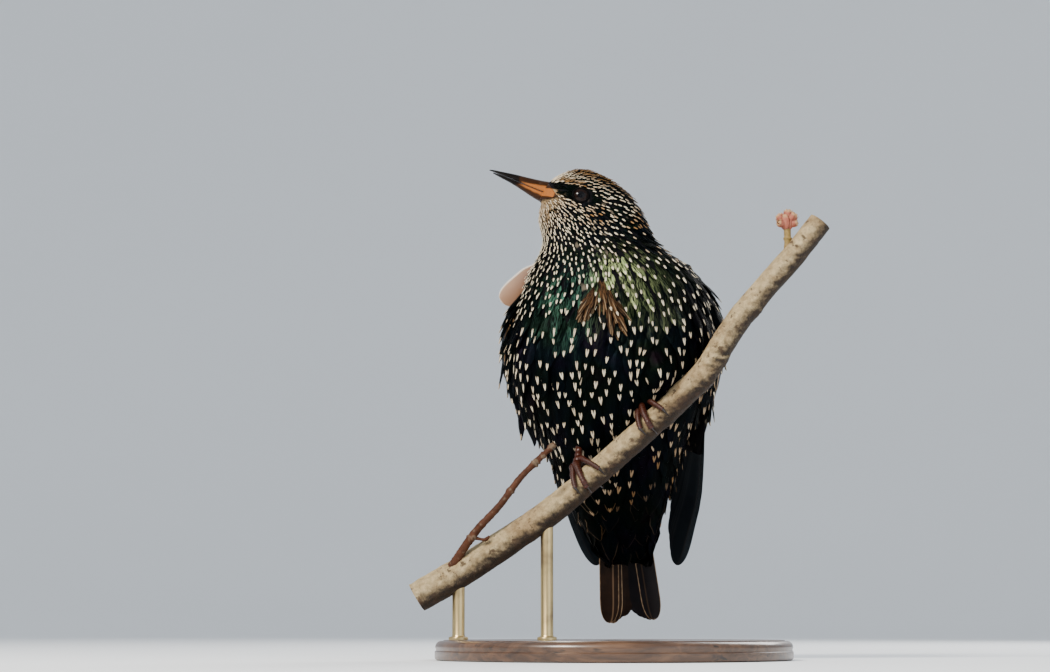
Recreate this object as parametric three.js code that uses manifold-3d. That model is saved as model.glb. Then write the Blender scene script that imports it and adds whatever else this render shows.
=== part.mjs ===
// A common starling in fresh winter plumage, life size, perched on a short cut length of branch
// that two rods hold over a round display base. The tail hangs behind the branch, clear of the base.
// Millimetres, +Z up. The bird's breast faces -Y and its head is turned to its right, towards -X.
// The origin is the centre of the underside of the base.
import * as THREE from 'three';
import { mergeVertices } from 'three/addons/utils/BufferGeometryUtils.js';
import Module from 'manifold-3d';

const wasm = await Module();
wasm.setup();

// Driving dimensions
const GAP = 0.3; // space kept between pieces that touch
const WING_LENGTH = 126; // bend of the wing to the tip of the longest primary
const TAIL_SHOWN = 43.8; // length of the tail past the body cut
const BILL_TILT = 22; // degrees that the bill is raised
const EYE_RADIUS = 4.2;
const EYE_OPENING = 2.9;
const VANE_THICKNESS = 0.6;
const LAYER_STEP = 0.35; // each feather lies this much over its neighbour
const BASE_RADIUS = 72;
const BASE_HEIGHT = 8;
const ROD_RADIUS = 2.5;
const ROD_PLACES = [-62, -27]; // X of the two rods

// Stations of the body from the crown down: x, y, z of the centre, half width across the camera's
// view, half depth, and the tilt of the section in degrees
const HEAD_CENTRE = new THREE.Vector3(-9.3, -17, 184.8);
const HEAD_LEAN = 0.1; // the crown leans back by this share of its height
const HEAD_RINGS = [
  { h: 10.9, front: 5.5, back: -1.0, deep: 1.8 },
  { h: 10.2, front: 8.0, back: -5.5, deep: 4.6 },
  { h: 8.6, front: 11.2, back: -11.3, deep: 7.7 },
  { h: 5.0, front: 15.2, back: -18.3, deep: 10.5 },
  { h: 0.0, front: 18.6, back: -24.2, deep: 11.8 },
  { h: -5.0, front: 19.2, back: -29.4, deep: 12.6 },
];
const BODY_RINGS = [
  { x: -6.3, y: -17.0, z: 174.8, side: 24.9, deep: 13.5, tilt: 17.8 },
  { x: -5.1, y: -16.6, z: 170.0, side: 26.2, deep: 15.0, tilt: 13.1 },
  { x: -2.7, y: -16.0, z: 165.1, side: 26.7, deep: 17.5, tilt: 7.5 },
  { x: -1.6, y: -15.0, z: 160.2, side: 29.6, deep: 20.8, tilt: 3.1 },
  { x: -0.8, y: -13.5, z: 154.0, side: 34.0, deep: 24.6, tilt: 1.0 },
  { x: 0.2, y: -11.5, z: 146.3, side: 37.6, deep: 28.2, tilt: 0 },
  { x: 0.4, y: -8.2, z: 130.8, side: 41.0, deep: 33.0, tilt: 0 },
  { x: 0.2, y: -4.0, z: 116.9, side: 41.2, deep: 33.2, tilt: 0 },
  { x: 0.2, y: 1.0, z: 105.3, side: 37.6, deep: 31.0, tilt: 0 },
  { x: 0.6, y: 5.6, z: 95.6, side: 31.8, deep: 28.0, tilt: 0 },
  { x: 1.1, y: 12.0, z: 83.7, side: 26.8, deep: 23.2, tilt: 0 },
  { x: 2.1, y: 19.5, z: 69.6, side: 22.4, deep: 17.6, tilt: 0 },
  { x: 3.8, y: 26.0, z: 57.4, side: 17.6, deep: 11.6, tilt: 0 },
  { x: 5.8, y: 30.8, z: 47.2, side: 12.6, deep: 6.8, tilt: 0 },
  { x: 7.2, y: 34.2, z: 40.0, side: 7.4, deep: 3.0, tilt: 0 },
];
const NECK_CUTS = [
  { z: 174.4, x: -7.5, tilt: 19 }, // under the head
  { z: 160.2, x: -1.6, tilt: 3 }, // above the shoulders
];
const TAIL_CUT = { y: 26, z: 57.4, lean: 26 };

// Centre line of the branch, with its radius
const BRANCH = [
  { at: [-78.5, -16, 24.6], r: 6.2 },
  { at: [-54.3, -16.5, 39.2], r: 6.0 },
  { at: [-30.1, -18, 55.3], r: 5.6 },
  { at: [-17.4, -19.5, 65.2], r: 5.3 },
  { at: [2.1, -22, 82.1], r: 5.2 },
  { at: [13.9, -24, 92.7], r: 5.15 },
  { at: [25.7, -27, 103.1], r: 5.2 },
  { at: [35.6, -29, 113.2], r: 5.1 },
  { at: [42.3, -30, 123.9], r: 5.1 },
  { at: [49.6, -30, 134.7], r: 4.9 },
  { at: [61.7, -30, 149.1], r: 4.8 },
  { at: [71.8, -30, 160.4], r: 4.8 },
  { at: [82.0, -30, 173.4], r: 4.7 },
];
const TWIG = [
  { at: [-66.4, -18, 33.5], r: 2.2 },
  { at: [-60.5, -21, 43.0], r: 1.7 },
  { at: [-54.6, -23, 51.1], r: 1.5 },
  { at: [-45.5, -24, 61.0], r: 1.4 },
  { at: [-37.6, -24, 71.6], r: 1.3 },
  { at: [-29.7, -24, 79.5], r: 1.2 },
  { at: [-23.8, -24, 85.2], r: 0.8 },
];

// Centre line of each folded wing from its bend to its tip, and the direction from its leading
// edge to its trailing edge at both ends
const WINGS = {
  left: {
    line: [[31.2, -3.7, 155], [36.3, 4.5, 142], [38, 10.5, 129], [37, 16, 117], [34.6, 19.4, 106],
      [33.4, 22, 96], [32.4, 26, 82], [31, 31, 68], [28.9, 35, 57.8], [27.2, 39, 47.5], [26.2, 42, 39]],
    chordTop: [-0.53, 0.85, 0],
    chordTip: [-0.85, 0.5, 0],
    bow: [40, 60],
  },
  right: {
    line: [[-32.8, -0.3, 149.5], [-35.6, 4.8, 142], [-37, 11, 129], [-36, 16.8, 117], [-31.8, 22.4, 105],
      [-26, 27, 95], [-19.6, 32.2, 83], [-14.8, 36.4, 72], [-10.2, 40, 60], [-6.5, 42.8, 50], [-2, 45.8, 38]],
    chordTop: [0.53, 0.85, 0],
    chordTip: [0.9, 0.42, 0],
    bow: [40, 60],
  },
};

// Places of the toes along the branch and how far round it each reaches, in degrees from the top
const TOES = [
  { start: -2.6, end: -7.8, reach: 88, r: 1.15, claw: 34 },
  { start: -0.8, end: -4.2, reach: 112, r: 1.3, claw: 34 },
  { start: 1.2, end: 4.4, reach: 92, r: 1.15, claw: 32 },
  { start: -0.4, end: 0.4, reach: -128, r: 1.3, claw: -36 },
];
const FEET = { left: { along: 17.0 }, right: { along: -9.0 } };

// Solids and meshes
function solid(geometry) {
  const bare = new THREE.BufferGeometry();
  bare.setAttribute('position', geometry.getAttribute('position'));
  if (geometry.index) bare.setIndex(geometry.index);
  const merged = mergeVertices(bare, 1e-5);
  const vertProperties = new Float32Array(merged.getAttribute('position').array);
  const corners = [...merged.index.array];
  const kept = corners.filter((_, i) => {
    const [a, b, c] = corners.slice(i - (i % 3), i - (i % 3) + 3);
    return a !== b && b !== c && c !== a;
  });
  const triVerts = new Uint32Array(kept);
  const made = new wasm.Manifold(new wasm.Mesh({ numProp: 3, vertProperties, triVerts }));
  if (made.volume() > 0) return made;
  for (let i = 0; i < triVerts.length; i += 3) {
    [triVerts[i], triVerts[i + 1]] = [triVerts[i + 1], triVerts[i]];
  }
  return new wasm.Manifold(new wasm.Mesh({ numProp: 3, vertProperties, triVerts }));
}

function fromPoints(points, faces) {
  const geometry = new THREE.BufferGeometry().setFromPoints(points);
  geometry.setIndex(faces.flat());
  return solid(geometry);
}

function largest(made) {
  return made.decompose().reduce((a, b) => (b.volume() > a.volume() ? b : a));
}

function union(pieces) {
  return pieces.reduce((a, b) => a.add(b));
}

const group = new THREE.Group();
group.name = 'starling';
const MATERIALS = {
  plumage: new THREE.MeshStandardMaterial({ color: 0x14161a, roughness: 0.5 }),
  bill: new THREE.MeshStandardMaterial({ color: 0x54453a, roughness: 0.45 }),
  eye: new THREE.MeshStandardMaterial({ color: 0x0c0908, roughness: 0.06 }),
  foot: new THREE.MeshStandardMaterial({ color: 0x6a2f20, roughness: 0.4 }),
  bark: new THREE.MeshStandardMaterial({ color: 0xc2a982, roughness: 0.8 }),
  twig: new THREE.MeshStandardMaterial({ color: 0x70493a, roughness: 0.7 }),
  bud: new THREE.MeshStandardMaterial({ color: 0xc98f7a, roughness: 0.75 }),
  base: new THREE.MeshStandardMaterial({ color: 0x4a3222, roughness: 0.45 }),
  rod: new THREE.MeshStandardMaterial({ color: 0x9a8460, roughness: 0.35, metalness: 1 }),
};

function place(name, made, material) {
  const { vertProperties, triVerts, numProp } = largest(made).getMesh();
  const geometry = new THREE.BufferGeometry();
  const position = new Float32Array((vertProperties.length / numProp) * 3);
  for (let i = 0; i < position.length / 3; i += 1) {
    for (let k = 0; k < 3; k += 1) position[3 * i + k] = vertProperties[numProp * i + k];
  }
  geometry.setAttribute('position', new THREE.BufferAttribute(position, 3));
  geometry.setIndex(new THREE.BufferAttribute(new Uint32Array(triVerts), 1));
  const mesh = new THREE.Mesh(geometry, MATERIALS[material]);
  mesh.name = name;
  group.add(mesh);
}

// Small vector helpers
const V = (x, y, z) => new THREE.Vector3(x, y, z);
const rad = THREE.MathUtils.degToRad;
const mix = THREE.MathUtils.lerp;
const clamp = THREE.MathUtils.clamp;
const smooth = (x, from, to) => THREE.MathUtils.smoothstep(x, from, to);

// A closed skin through rings of equal length, with a fan over each end
function loft(rings) {
  const n = rings[0].length;
  const points = rings.flat();
  const faces = [];
  for (let i = 0; i + 1 < rings.length; i += 1) {
    for (let j = 0; j < n; j += 1) {
      const k = (j + 1) % n;
      const a = i * n + j;
      const b = i * n + k;
      faces.push([a, b, b + n], [a, b + n, a + n]);
    }
  }
  for (const [ring, turn] of [[0, true], [rings.length - 1, false]]) {
    const centre = rings[ring].reduce((s, p) => s.add(p), V(0, 0, 0)).divideScalar(n);
    points.push(centre);
    const c = points.length - 1;
    for (let j = 0; j < n; j += 1) {
      const a = ring * n + j;
      const b = ring * n + ((j + 1) % n);
      faces.push(turn ? [c, b, a] : [c, a, b]);
    }
  }
  return fromPoints(points, faces);
}

// Values of a table between its stations, on a smooth curve
function interpolate(rows, keys, steps) {
  const out = [];
  for (let i = 0; i + 1 < rows.length; i += 1) {
    const four = [rows[Math.max(i - 1, 0)], rows[i], rows[i + 1], rows[Math.min(i + 2, rows.length - 1)]];
    for (let s = 0; s < steps; s += 1) {
      const t = s / steps;
      const row = {};
      for (const key of keys) {
        const [p, q, r, v] = four.map((f) => f[key]);
        const m0 = (r - p) / 2;
        const m1 = (v - q) / 2;
        row[key] = (2 * t ** 3 - 3 * t ** 2 + 1) * q + (t ** 3 - 2 * t ** 2 + t) * m0
          + (3 * t ** 2 - 2 * t ** 3) * r + (t ** 3 - t ** 2) * m1;
      }
      out.push(row);
    }
  }
  out.push({ ...rows[rows.length - 1] });
  return out;
}

// Frame of the head: along the bill, up through the crown, and out of its left side
const BILL_WAY = V(-Math.cos(rad(BILL_TILT)), 0, Math.sin(rad(BILL_TILT)));
const CROWN_WAY = V(Math.sin(rad(BILL_TILT)), HEAD_LEAN, Math.cos(rad(BILL_TILT)));
const LEFT_WAY = V(0, -1, 0);
const inHead = (along, up, left = 0) => HEAD_CENTRE.clone()
  .addScaledVector(BILL_WAY, along).addScaledVector(CROWN_WAY, up).addScaledVector(LEFT_WAY, left);

// The whole body as one loft, from the crown to the end of the tail coverts
const SECTION_POINTS = 26;
const SECTION_POWER = 2.25;
function bodyStations() {
  const head = HEAD_RINGS.map(({ h, front, back, deep }) => {
    const c = inHead((front + back) / 2, h);
    return { x: c.x, y: c.y, z: c.z, side: (front - back) / 2, deep, tilt: BILL_TILT };
  });
  return [...head, ...BODY_RINGS];
}

function bodyRing({ x, y, z, side, deep, tilt }, grow) {
  const across = V(Math.cos(rad(tilt)), 0, -Math.sin(rad(tilt)));
  const ring = [];
  for (let j = 0; j < SECTION_POINTS; j += 1) {
    const angle = (2 * Math.PI * j) / SECTION_POINTS;
    const c = Math.cos(angle);
    const s = Math.sin(angle);
    const u = Math.sign(c) * Math.abs(c) ** (2 / SECTION_POWER) * (side + grow);
    const v = Math.sign(s) * Math.abs(s) ** (2 / SECTION_POWER) * (deep + grow);
    ring.push(V(x, y, z).addScaledVector(across, u).add(V(0, v, 0)));
  }
  return ring;
}

function body(grow) {
  const rows = interpolate(bodyStations(), ['x', 'y', 'z', 'side', 'deep', 'tilt'], 2);
  return loft(rows.map((row) => bodyRing(row, grow)));
}

// Cuts across the body, each a pair of half spaces a gap apart
function cutAbove(made, point, normal, shift) {
  const n = normal.clone().normalize();
  return made.trimByPlane(n.toArray(), n.dot(point) + shift);
}
const cutBelow = (made, point, normal, shift) => cutAbove(made, point, normal.clone().negate(), shift);
const neckPlane = ({ x, z, tilt }) => [V(x, 0, z), V(Math.sin(rad(tilt)), 0, Math.cos(rad(tilt)))];
const tailPlane = [
  V(0, TAIL_CUT.y, TAIL_CUT.z),
  V(0, -Math.sin(rad(TAIL_CUT.lean)), Math.cos(rad(TAIL_CUT.lean))),
];

// A round tube through stations, each with a centre and a radius
function tube(rows, sides, steps, grow = 0) {
  const flat = rows.map(({ at, r }) => ({ x: at[0], y: at[1], z: at[2], r }));
  const smoothRows = interpolate(flat, ['x', 'y', 'z', 'r'], steps);
  const centres = smoothRows.map(({ x, y, z }) => V(x, y, z));
  let side = V(0, -1, 0);
  const rings = centres.map((centre, i) => {
    const before = centres[Math.max(i - 1, 0)];
    const after = centres[Math.min(i + 1, centres.length - 1)];
    const way = after.clone().sub(before).normalize();
    side = side.clone().addScaledVector(way, -side.dot(way)).normalize();
    const up = side.clone().cross(way);
    const ring = [];
    for (let j = 0; j < sides; j += 1) {
      const angle = (2 * Math.PI * j) / sides;
      const r = smoothRows[i].r + grow;
      ring.push(centre.clone().addScaledVector(side, r * Math.cos(angle))
        .addScaledVector(up, r * Math.sin(angle)));
    }
    return ring;
  });
  return loft(rings);
}

function ball(centre, radius, wide = 14, high = 10) {
  const geometry = new THREE.SphereGeometry(radius, wide, high);
  geometry.translate(centre.x, centre.y, centre.z);
  return solid(geometry);
}

// Branch, twig and bud
const BRANCH_SIDES = 14;
const branchSolid = (grow) => tube(BRANCH, BRANCH_SIDES, 2, grow);
const branch = branchSolid(0);
const branchClear = branchSolid(GAP);
place('branch', branch, 'bark');
place('twig', tube(TWIG, 8, 2).subtract(branchClear), 'twig');

const BUD_FOOT = V(68.7, -30, 158);
const BUD_HEAD = V(68.8, -30, 173.4);
const BUD_SCALES = [
  [0, 0, 0, 2.9],
  [2.1, -1, 1.6, 2.0],
  [-2.2, 0.6, 1.4, 2.0],
  [0.4, -0.8, 2.9, 1.9],
  [2.6, -0.6, -0.6, 1.7],
  [-2.4, -1.2, -0.8, 1.7],
];
const STEM = [
  { at: BUD_FOOT.toArray(), r: 1.7 },
  { at: [69, -30, 166], r: 1.5 },
  { at: BUD_HEAD.toArray(), r: 1.4 },
];
const stem = tube(STEM, 7, 1);
const scales = BUD_SCALES.map(([x, y, z, r]) => ball(BUD_HEAD.clone().add(V(x, y, z)), r, 7, 4));
place('bud', union([stem, ...scales]).subtract(branchClear), 'bud');

// Body: head, neck, torso
const whole = body(0);
const wholeClear = body(GAP);
const [headCut, neckCut] = NECK_CUTS.map(neckPlane);
const HEAD_FACE = 17.5; // where the feathering ends and the bill begins
const EYE_ALONG = 3.6;
const EYE_UP = -1.8;
const EYE_OUT = 9.0;
const eyeCentre = (sign) => inHead(EYE_ALONG, EYE_UP, sign * EYE_OUT);

function lidRing(sign) {
  const middle = EYE_OUT + Math.sqrt(EYE_RADIUS ** 2 - EYE_OPENING ** 2) - 0.1;
  const rows = 12;
  const sides = 5;
  const lidRadius = 0.55;
  const geometry = new THREE.TorusGeometry(EYE_OPENING + lidRadius + 0.15, lidRadius, sides, rows);
  const basis = new THREE.Matrix4().makeBasis(BILL_WAY, CROWN_WAY.clone().normalize(), LEFT_WAY);
  geometry.applyMatrix4(basis);
  const at = inHead(EYE_ALONG, EYE_UP, sign * middle);
  geometry.translate(at.x, at.y, at.z);
  return solid(geometry);
}

function gapeGroove(sign) {
  const rows = [
    { at: inHead(13.4, -5.3, sign * 9.4).toArray(), r: 0.35 },
    { at: inHead(15.6, -5.0, sign * 7.6).toArray(), r: 0.5 },
    { at: inHead(18.4, -4.8, sign * 5.0).toArray(), r: 0.55 },
  ];
  return tube(rows, 6, 1);
}

let head = cutAbove(whole, headCut[0], headCut[1], GAP / 2);
head = cutBelow(head, inHead(HEAD_FACE, 0), BILL_WAY, 0);
for (const sign of [1, -1]) {
  head = head.add(lidRing(sign)).subtract(ball(eyeCentre(sign), EYE_RADIUS + GAP, 12, 9))
    .subtract(gapeGroove(sign));
}
place('head', head, 'plumage');
place('eye_left', ball(eyeCentre(1), EYE_RADIUS, 12, 9), 'eye');
place('eye_right', ball(eyeCentre(-1), EYE_RADIUS, 12, 9), 'eye');

const neck = cutAbove(cutBelow(whole, headCut[0], headCut[1], GAP / 2), neckCut[0], neckCut[1], GAP / 2);
place('neck', neck, 'plumage');
const torsoTop = cutBelow(whole, neckCut[0], neckCut[1], GAP / 2);
const torso = cutAbove(torsoTop, tailPlane[0], tailPlane[1], GAP / 2).subtract(branchSolid(0.5));

// Bill: each half is a loft of rounded sections along the bill
const UPPER = [
  { s: 17.8, top: 0.8, low: -4.6, half: 4.0 },
  { s: 22, top: -0.1, low: -4.5, half: 3.3 },
  { s: 27, top: -0.9, low: -4.3, half: 2.6 },
  { s: 32, top: -1.6, low: -4.05, half: 2.0 },
  { s: 37, top: -2.5, low: -3.9, half: 1.35 },
  { s: 40.8, top: -3.2, low: -3.9, half: 0.75 },
  { s: 42.4, top: -3.65, low: -4.0, half: 0.3 },
];
const LOWER = [
  { s: 17.8, top: -4.95, low: -8.4, half: 3.7 },
  { s: 22, top: -4.85, low: -7.8, half: 3.0 },
  { s: 27, top: -4.65, low: -6.7, half: 2.3 },
  { s: 32, top: -4.4, low: -5.7, half: 1.7 },
  { s: 37, top: -4.25, low: -5.1, half: 1.05 },
  { s: 40.6, top: -4.3, low: -4.65, half: 0.35 },
];

function billHalf(rows, arched) {
  // arched is 1 where the round side is on top, -1 where it is below
  const rings = rows.map(({ s, top, low, half }) => {
    const flat = arched > 0 ? low : top;
    const rise = (top - low) * arched;
    const ring = [];
    for (let j = 0; j <= 8; j += 1) {
      const angle = (Math.PI * j) / 8;
      ring.push(inHead(s, flat + rise * Math.sin(angle) ** 0.85, half * Math.cos(angle)));
    }
    return ring;
  });
  return loft(rings);
}

function nostril(sign) {
  const hole = ball(V(0, 0, 0), 0.5, 10, 8).scale([2.1, 1, 1.6]);
  const turned = hole.rotate([0, BILL_TILT - 6, 0]);
  return turned.translate(inHead(21.6, -1.9, sign * 2.75).toArray());
}
place('bill_upper', billHalf(UPPER, 1).subtract(nostril(1)).subtract(nostril(-1)), 'bill');
place('bill_lower', billHalf(LOWER, -1), 'bill');

// A feather: a thin plate along a path. at(s) gives its centre, across(s) its half width as a
// vector and out(s) the way out of the plate. Both faces are split into triangles alike.
function vane(segments, at, across, out) {
  const points = [];
  for (let i = 0; i <= segments; i += 1) {
    const s = i / segments;
    const centre = at(s);
    const half = across(s);
    const lift = out(s).normalize().multiplyScalar(VANE_THICKNESS / 2);
    for (const [side, face] of [[-1, 1], [1, 1], [1, -1], [-1, -1]]) {
      points.push(centre.clone().addScaledVector(half, side).addScaledVector(lift, face));
    }
  }
  const faces = [[0, 2, 1], [0, 3, 2]];
  for (let i = 0; i < segments; i += 1) {
    const a = 4 * i;
    const b = a + 4;
    faces.push([a, a + 1, b + 1], [a, b + 1, b]);
    faces.push([a + 3, b + 2, a + 2], [a + 3, b + 3, b + 2]);
    faces.push([a + 1, a + 2, b + 2], [a + 1, b + 2, b + 1]);
    faces.push([a, b, b + 3], [a, b + 3, a + 3]);
  }
  const e = 4 * segments;
  faces.push([e, e + 1, e + 2], [e, e + 2, e + 3]);
  return fromPoints(points, faces);
}

// Share of the full width along a feather, from its root to its round tip
const featherWidth = (s, tip, base) => mix(base, 1, smooth(s, 0, 0.35)) * mix(1, tip, smooth(s, 0.72, 1));

// A feather on a curved sheet, from root to tip in the sheet's own coordinates
function sheetVane(sheet, { root, tip, width, low, high, point = 0.24, base = 0.45, segments = 4 }) {
  const way = new THREE.Vector2(tip[0] - root[0], tip[1] - root[1]).normalize();
  const spot = (s, side) => [mix(root[0], tip[0], s) + side * way.y, mix(root[1], tip[1], s) - side * way.x];
  const half = (s) => (width / 2) * featherWidth(s, point, base);
  const height = (s) => mix(low, high, smooth(s, 0, 0.5));
  const edge = (s, side) => sheet(...spot(s, side * half(s)), height(s));
  return vane(
    segments,
    (s) => edge(s, 1).add(edge(s, -1)).multiplyScalar(0.5),
    (s) => edge(s, 1).sub(edge(s, -1)).multiplyScalar(0.5),
    (s) => sheet(...spot(s, 0), height(s) + 1).sub(sheet(...spot(s, 0), height(s))),
  );
}

// The folded wing is a curved sheet: a is the distance from its centre line towards the trailing
// edge, l the distance from the bend of the wing, and h the height over the sheet
function wingSheet({ line, chordTop, chordTip, bow }, outward) {
  const curve = new THREE.CatmullRomCurve3(line.map((p) => V(...p)), false, 'centripetal');
  const length = curve.getLength();
  return (a, l, h) => {
    const u = clamp(l / length, 0, 1);
    const way = curve.getTangentAt(u);
    const middle = curve.getPointAt(u).addScaledVector(way, l - u * length);
    const turn = smooth(l, 60, WING_LENGTH);
    const chord = V(...chordTop).lerp(V(...chordTip), turn);
    chord.addScaledVector(way, -chord.dot(way)).normalize();
    const normal = chord.clone().cross(way).normalize();
    if (normal.x * outward < 0) normal.negate();
    const radius = mix(bow[0], bow[1], turn);
    return middle.addScaledVector(normal, (radius + h) * Math.cos(a / radius) - radius)
      .addScaledVector(chord, (radius + h) * Math.sin(a / radius));
  };
}

// The fleshy part of the wing with its smallest feathers: a lens on the sheet whose edges sink into
// the body above and lift clear of it below
const WING_BODY = { from: -6, to: 76, rows: 8, columns: 6 };
const wingHalfChord = (l) => mix(7, 17.5, smooth(l, -8, 18)) * mix(1, 0.5, smooth(l, 50, 78));
function wingTop(a, l) {
  const edge = mix(-2.6, 0.5, smooth(l, 38, 62));
  const crest = mix(1.6, 3.4, smooth(l, -8, 10)) * mix(1, 0.35, smooth(l, 30, 76));
  const t = clamp(a / wingHalfChord(l), -1, 1);
  return edge + (crest - edge) * (1 - t * t) ** 0.7;
}
function wingBody(sheet) {
  const rings = [];
  for (let i = 0; i <= WING_BODY.rows; i += 1) {
    const l = mix(WING_BODY.from, WING_BODY.to, i / WING_BODY.rows);
    const half = wingHalfChord(l);
    const under = mix(7, 0.8, smooth(l, 42, 70));
    const top = [];
    const bottom = [];
    for (let j = 0; j <= WING_BODY.columns; j += 1) {
      const t = -1 + (2 * j) / WING_BODY.columns;
      const height = wingTop(t * half, l);
      top.push(sheet(t * half, l, height));
      bottom.unshift(sheet(t * half, l, height - 0.7 - under * (1 - t * t) ** 0.5));
    }
    rings.push([...top, ...bottom]);
  }
  return loft(rings);
}

// The tiers of the folded wing. Each feather has its root and tip as (a, l), its width, and its
// layer counted from the lowest feather
const TIERS = [
  // primaries, the outermost first and lowest
  {
    count: 6,
    root: [[-11, 36], [-4, 34]],
    tip: [[-2.2, WING_LENGTH], [4.6, WING_LENGTH - 27]],
    ease: 1.25,
    width: 9.6,
    layers: [0, 2],
  },
  // secondaries
  { count: 3, root: [[-1, 34], [6, 30]], tip: [[5, 91], [9, 86]], width: 11, layers: [2.4, 3.2] },
  // tertials
  { count: 2, root: [[9, 26], [12, 20]], tip: [[9.5, 80], [12, 64]], width: 12, layers: [3.6, 4.1] },
  // greater primary coverts
  { count: 2, root: [[-12, 22], [-13.5, 16]], tip: [[-9.5, 66], [-13, 48]], width: 6.5, layers: [2.2, 2.6] },
  // greater coverts
  { count: 4, root: [[-9.5, 18], [11, 14]], tip: [[-8, 54], [12.5, 47]], width: 11, layers: [3, 3.8] },
  // median coverts
  { count: 3, root: [[-9, 2], [9, -1]], tip: [[-9.5, 32], [10.5, 28]], width: 13, layers: [2.2, 2.8] },
];
const SUNK = -1.2; // height of a root under the wing's top

function tierFeathers({ count, root, tip, ease = 1, width, layers }, surface) {
  const made = [];
  for (let i = 0; i < count; i += 1) {
    const t = i / (count - 1);
    const pair = (ends, k, power) => mix(ends[0][k], ends[1][k], t ** power);
    made.push(sheetVane(surface, {
      root: [pair(root, 0, 1), pair(root, 1, 1)],
      tip: [pair(tip, 0, 1), pair(tip, 1, ease)],
      width,
      low: SUNK,
      high: mix(layers[0], layers[1], t) * LAYER_STEP + 0.35,
    }));
  }
  return made;
}

function wing(spec, outward) {
  const sheet = wingSheet(spec, outward);
  const surface = (a, l, h) => sheet(a, l, h + wingTop(a, l) * (1 - smooth(l, 58, 88)));
  return union([wingBody(sheet), ...TIERS.flatMap((tier) => tierFeathers(tier, surface))]);
}
const wingClear = wholeClear.add(branchSolid(0.5));
place('wing_left', wing(WINGS.left, 1).subtract(wingClear), 'plumage');

// A pale feather out of place at the right shoulder, edge on to the wing
const LOOSE = { root: V(-27, 0, 161), tip: V(-45, 5, 146.5), width: 13 };
function looseFeather() {
  const way = LOOSE.tip.clone().sub(LOOSE.root);
  const out = V(0.15, -1, 0);
  const side = out.clone().cross(way).normalize();
  return vane(
    6,
    (s) => LOOSE.root.clone().addScaledVector(way, s),
    (s) => side.clone().multiplyScalar((LOOSE.width / 2) * featherWidth(s, 0.45, 0.45)),
    () => out.clone(),
  );
}
place('wing_right', wing(WINGS.right, -1).add(looseFeather()).subtract(wingClear), 'plumage');

// Tail: twelve feathers fanned on a flat sheet, the outer ones longest and lowest
const TAIL_ROOT = V(5.6, 28.2, 55);
const TAIL_TIP = V(9.6, 46.2, 16);
const tailWay = TAIL_TIP.clone().sub(TAIL_ROOT).normalize();
const tailSide = V(1, 0, 0).addScaledVector(tailWay, -tailWay.x).normalize();
const tailUp = tailWay.clone().cross(tailSide).normalize();
if (tailUp.y < 0) tailUp.negate();
const tailSheet = (a, l, h) => TAIL_ROOT.clone().addScaledVector(tailWay, l)
  .addScaledVector(tailSide, a).addScaledVector(tailUp, h - 0.004 * a * a);

// Tail feathers in pairs from the middle, k = 0, to the edge, k = 5
const TAIL_PAIRS = 6;
const TAIL_FEATHER = { rootSpread: [0.8, 5.8], tipSpread: [1.4, 9.4], width: 8.2, notch: 4, root: -9 };
function tailFeathers() {
  const made = [];
  for (let k = 0; k < TAIL_PAIRS; k += 1) {
    const t = k / (TAIL_PAIRS - 1);
    for (const side of [-1, 1]) {
      const high = (TAIL_PAIRS - 1 - k + (side > 0 ? 0.4 : 0)) * LAYER_STEP;
      made.push(sheetVane(tailSheet, {
        root: [side * mix(...TAIL_FEATHER.rootSpread, t), TAIL_FEATHER.root],
        tip: [side * mix(...TAIL_FEATHER.tipSpread, t), TAIL_SHOWN - TAIL_FEATHER.notch * (1 - t) ** 1.5 - 1],
        width: TAIL_FEATHER.width,
        low: high,
        high,
        point: 0.34,
        base: 0.8,
      }));
    }
  }
  return union(made);
}
const tailCoverts = cutBelow(whole, tailPlane[0], tailPlane[1], GAP / 2);
place('tail', tailCoverts.add(cutBelow(tailFeathers(), tailPlane[0], tailPlane[1], GAP / 2)), 'plumage');

// Legs: feathered thigh stubs at the belly, then toes and claws round the branch
const branchCurve = new THREE.CatmullRomCurve3(BRANCH.map(({ at }) => V(...at)), false, 'centripetal');
const branchLength = branchCurve.getLength();

function branchFrame(x) {
  // place on the centre line with this X
  let low = 0;
  let high = 1;
  for (let i = 0; i < 30; i += 1) {
    const middle = (low + high) / 2;
    if (branchCurve.getPointAt(middle).x < x) low = middle;
    else high = middle;
  }
  return low;
}

function onBranch(u0, along, angle, radius) {
  const u = u0 + along / branchLength;
  const way = branchCurve.getTangentAt(u);
  const up = V(0, 0, 1).addScaledVector(way, -way.z).normalize();
  const front = way.clone().cross(up);
  return branchCurve.getPointAt(u).addScaledVector(up, radius * Math.cos(rad(angle)))
    .addScaledVector(front, radius * Math.sin(rad(angle)));
}

const PERCH_RADIUS = 5.25;
const FOOT_BALL = { angle: -14, lift: 3.3, r: 2.2 };
function toe(u0, { start, end, reach, r, claw }) {
  const rows = [];
  const steps = 5;
  const sign = Math.sign(reach);
  for (let i = 0; i <= steps; i += 1) {
    const t = i / steps;
    const lift = mix(FOOT_BALL.lift, r + GAP + 0.15, smooth(t, 0, 0.45));
    const angle = mix(FOOT_BALL.angle + sign * 4, reach, t);
    const at = onBranch(u0, mix(start, end, t), angle, PERCH_RADIUS + lift).toArray();
    rows.push({ at, r: r * mix(1.05, 0.85, t) });
  }
  const clawRows = [-0.15, 0.35, 1].map((t) => ({
    at: onBranch(u0, end, reach + claw * t, PERCH_RADIUS + mix(r + 0.6, 1.0, t)).toArray(),
    r: mix(0.78, 0.22, Math.max(t, 0)),
  }));
  return tube(rows, 6, 1).add(tube(clawRows, 5, 2));
}

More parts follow.
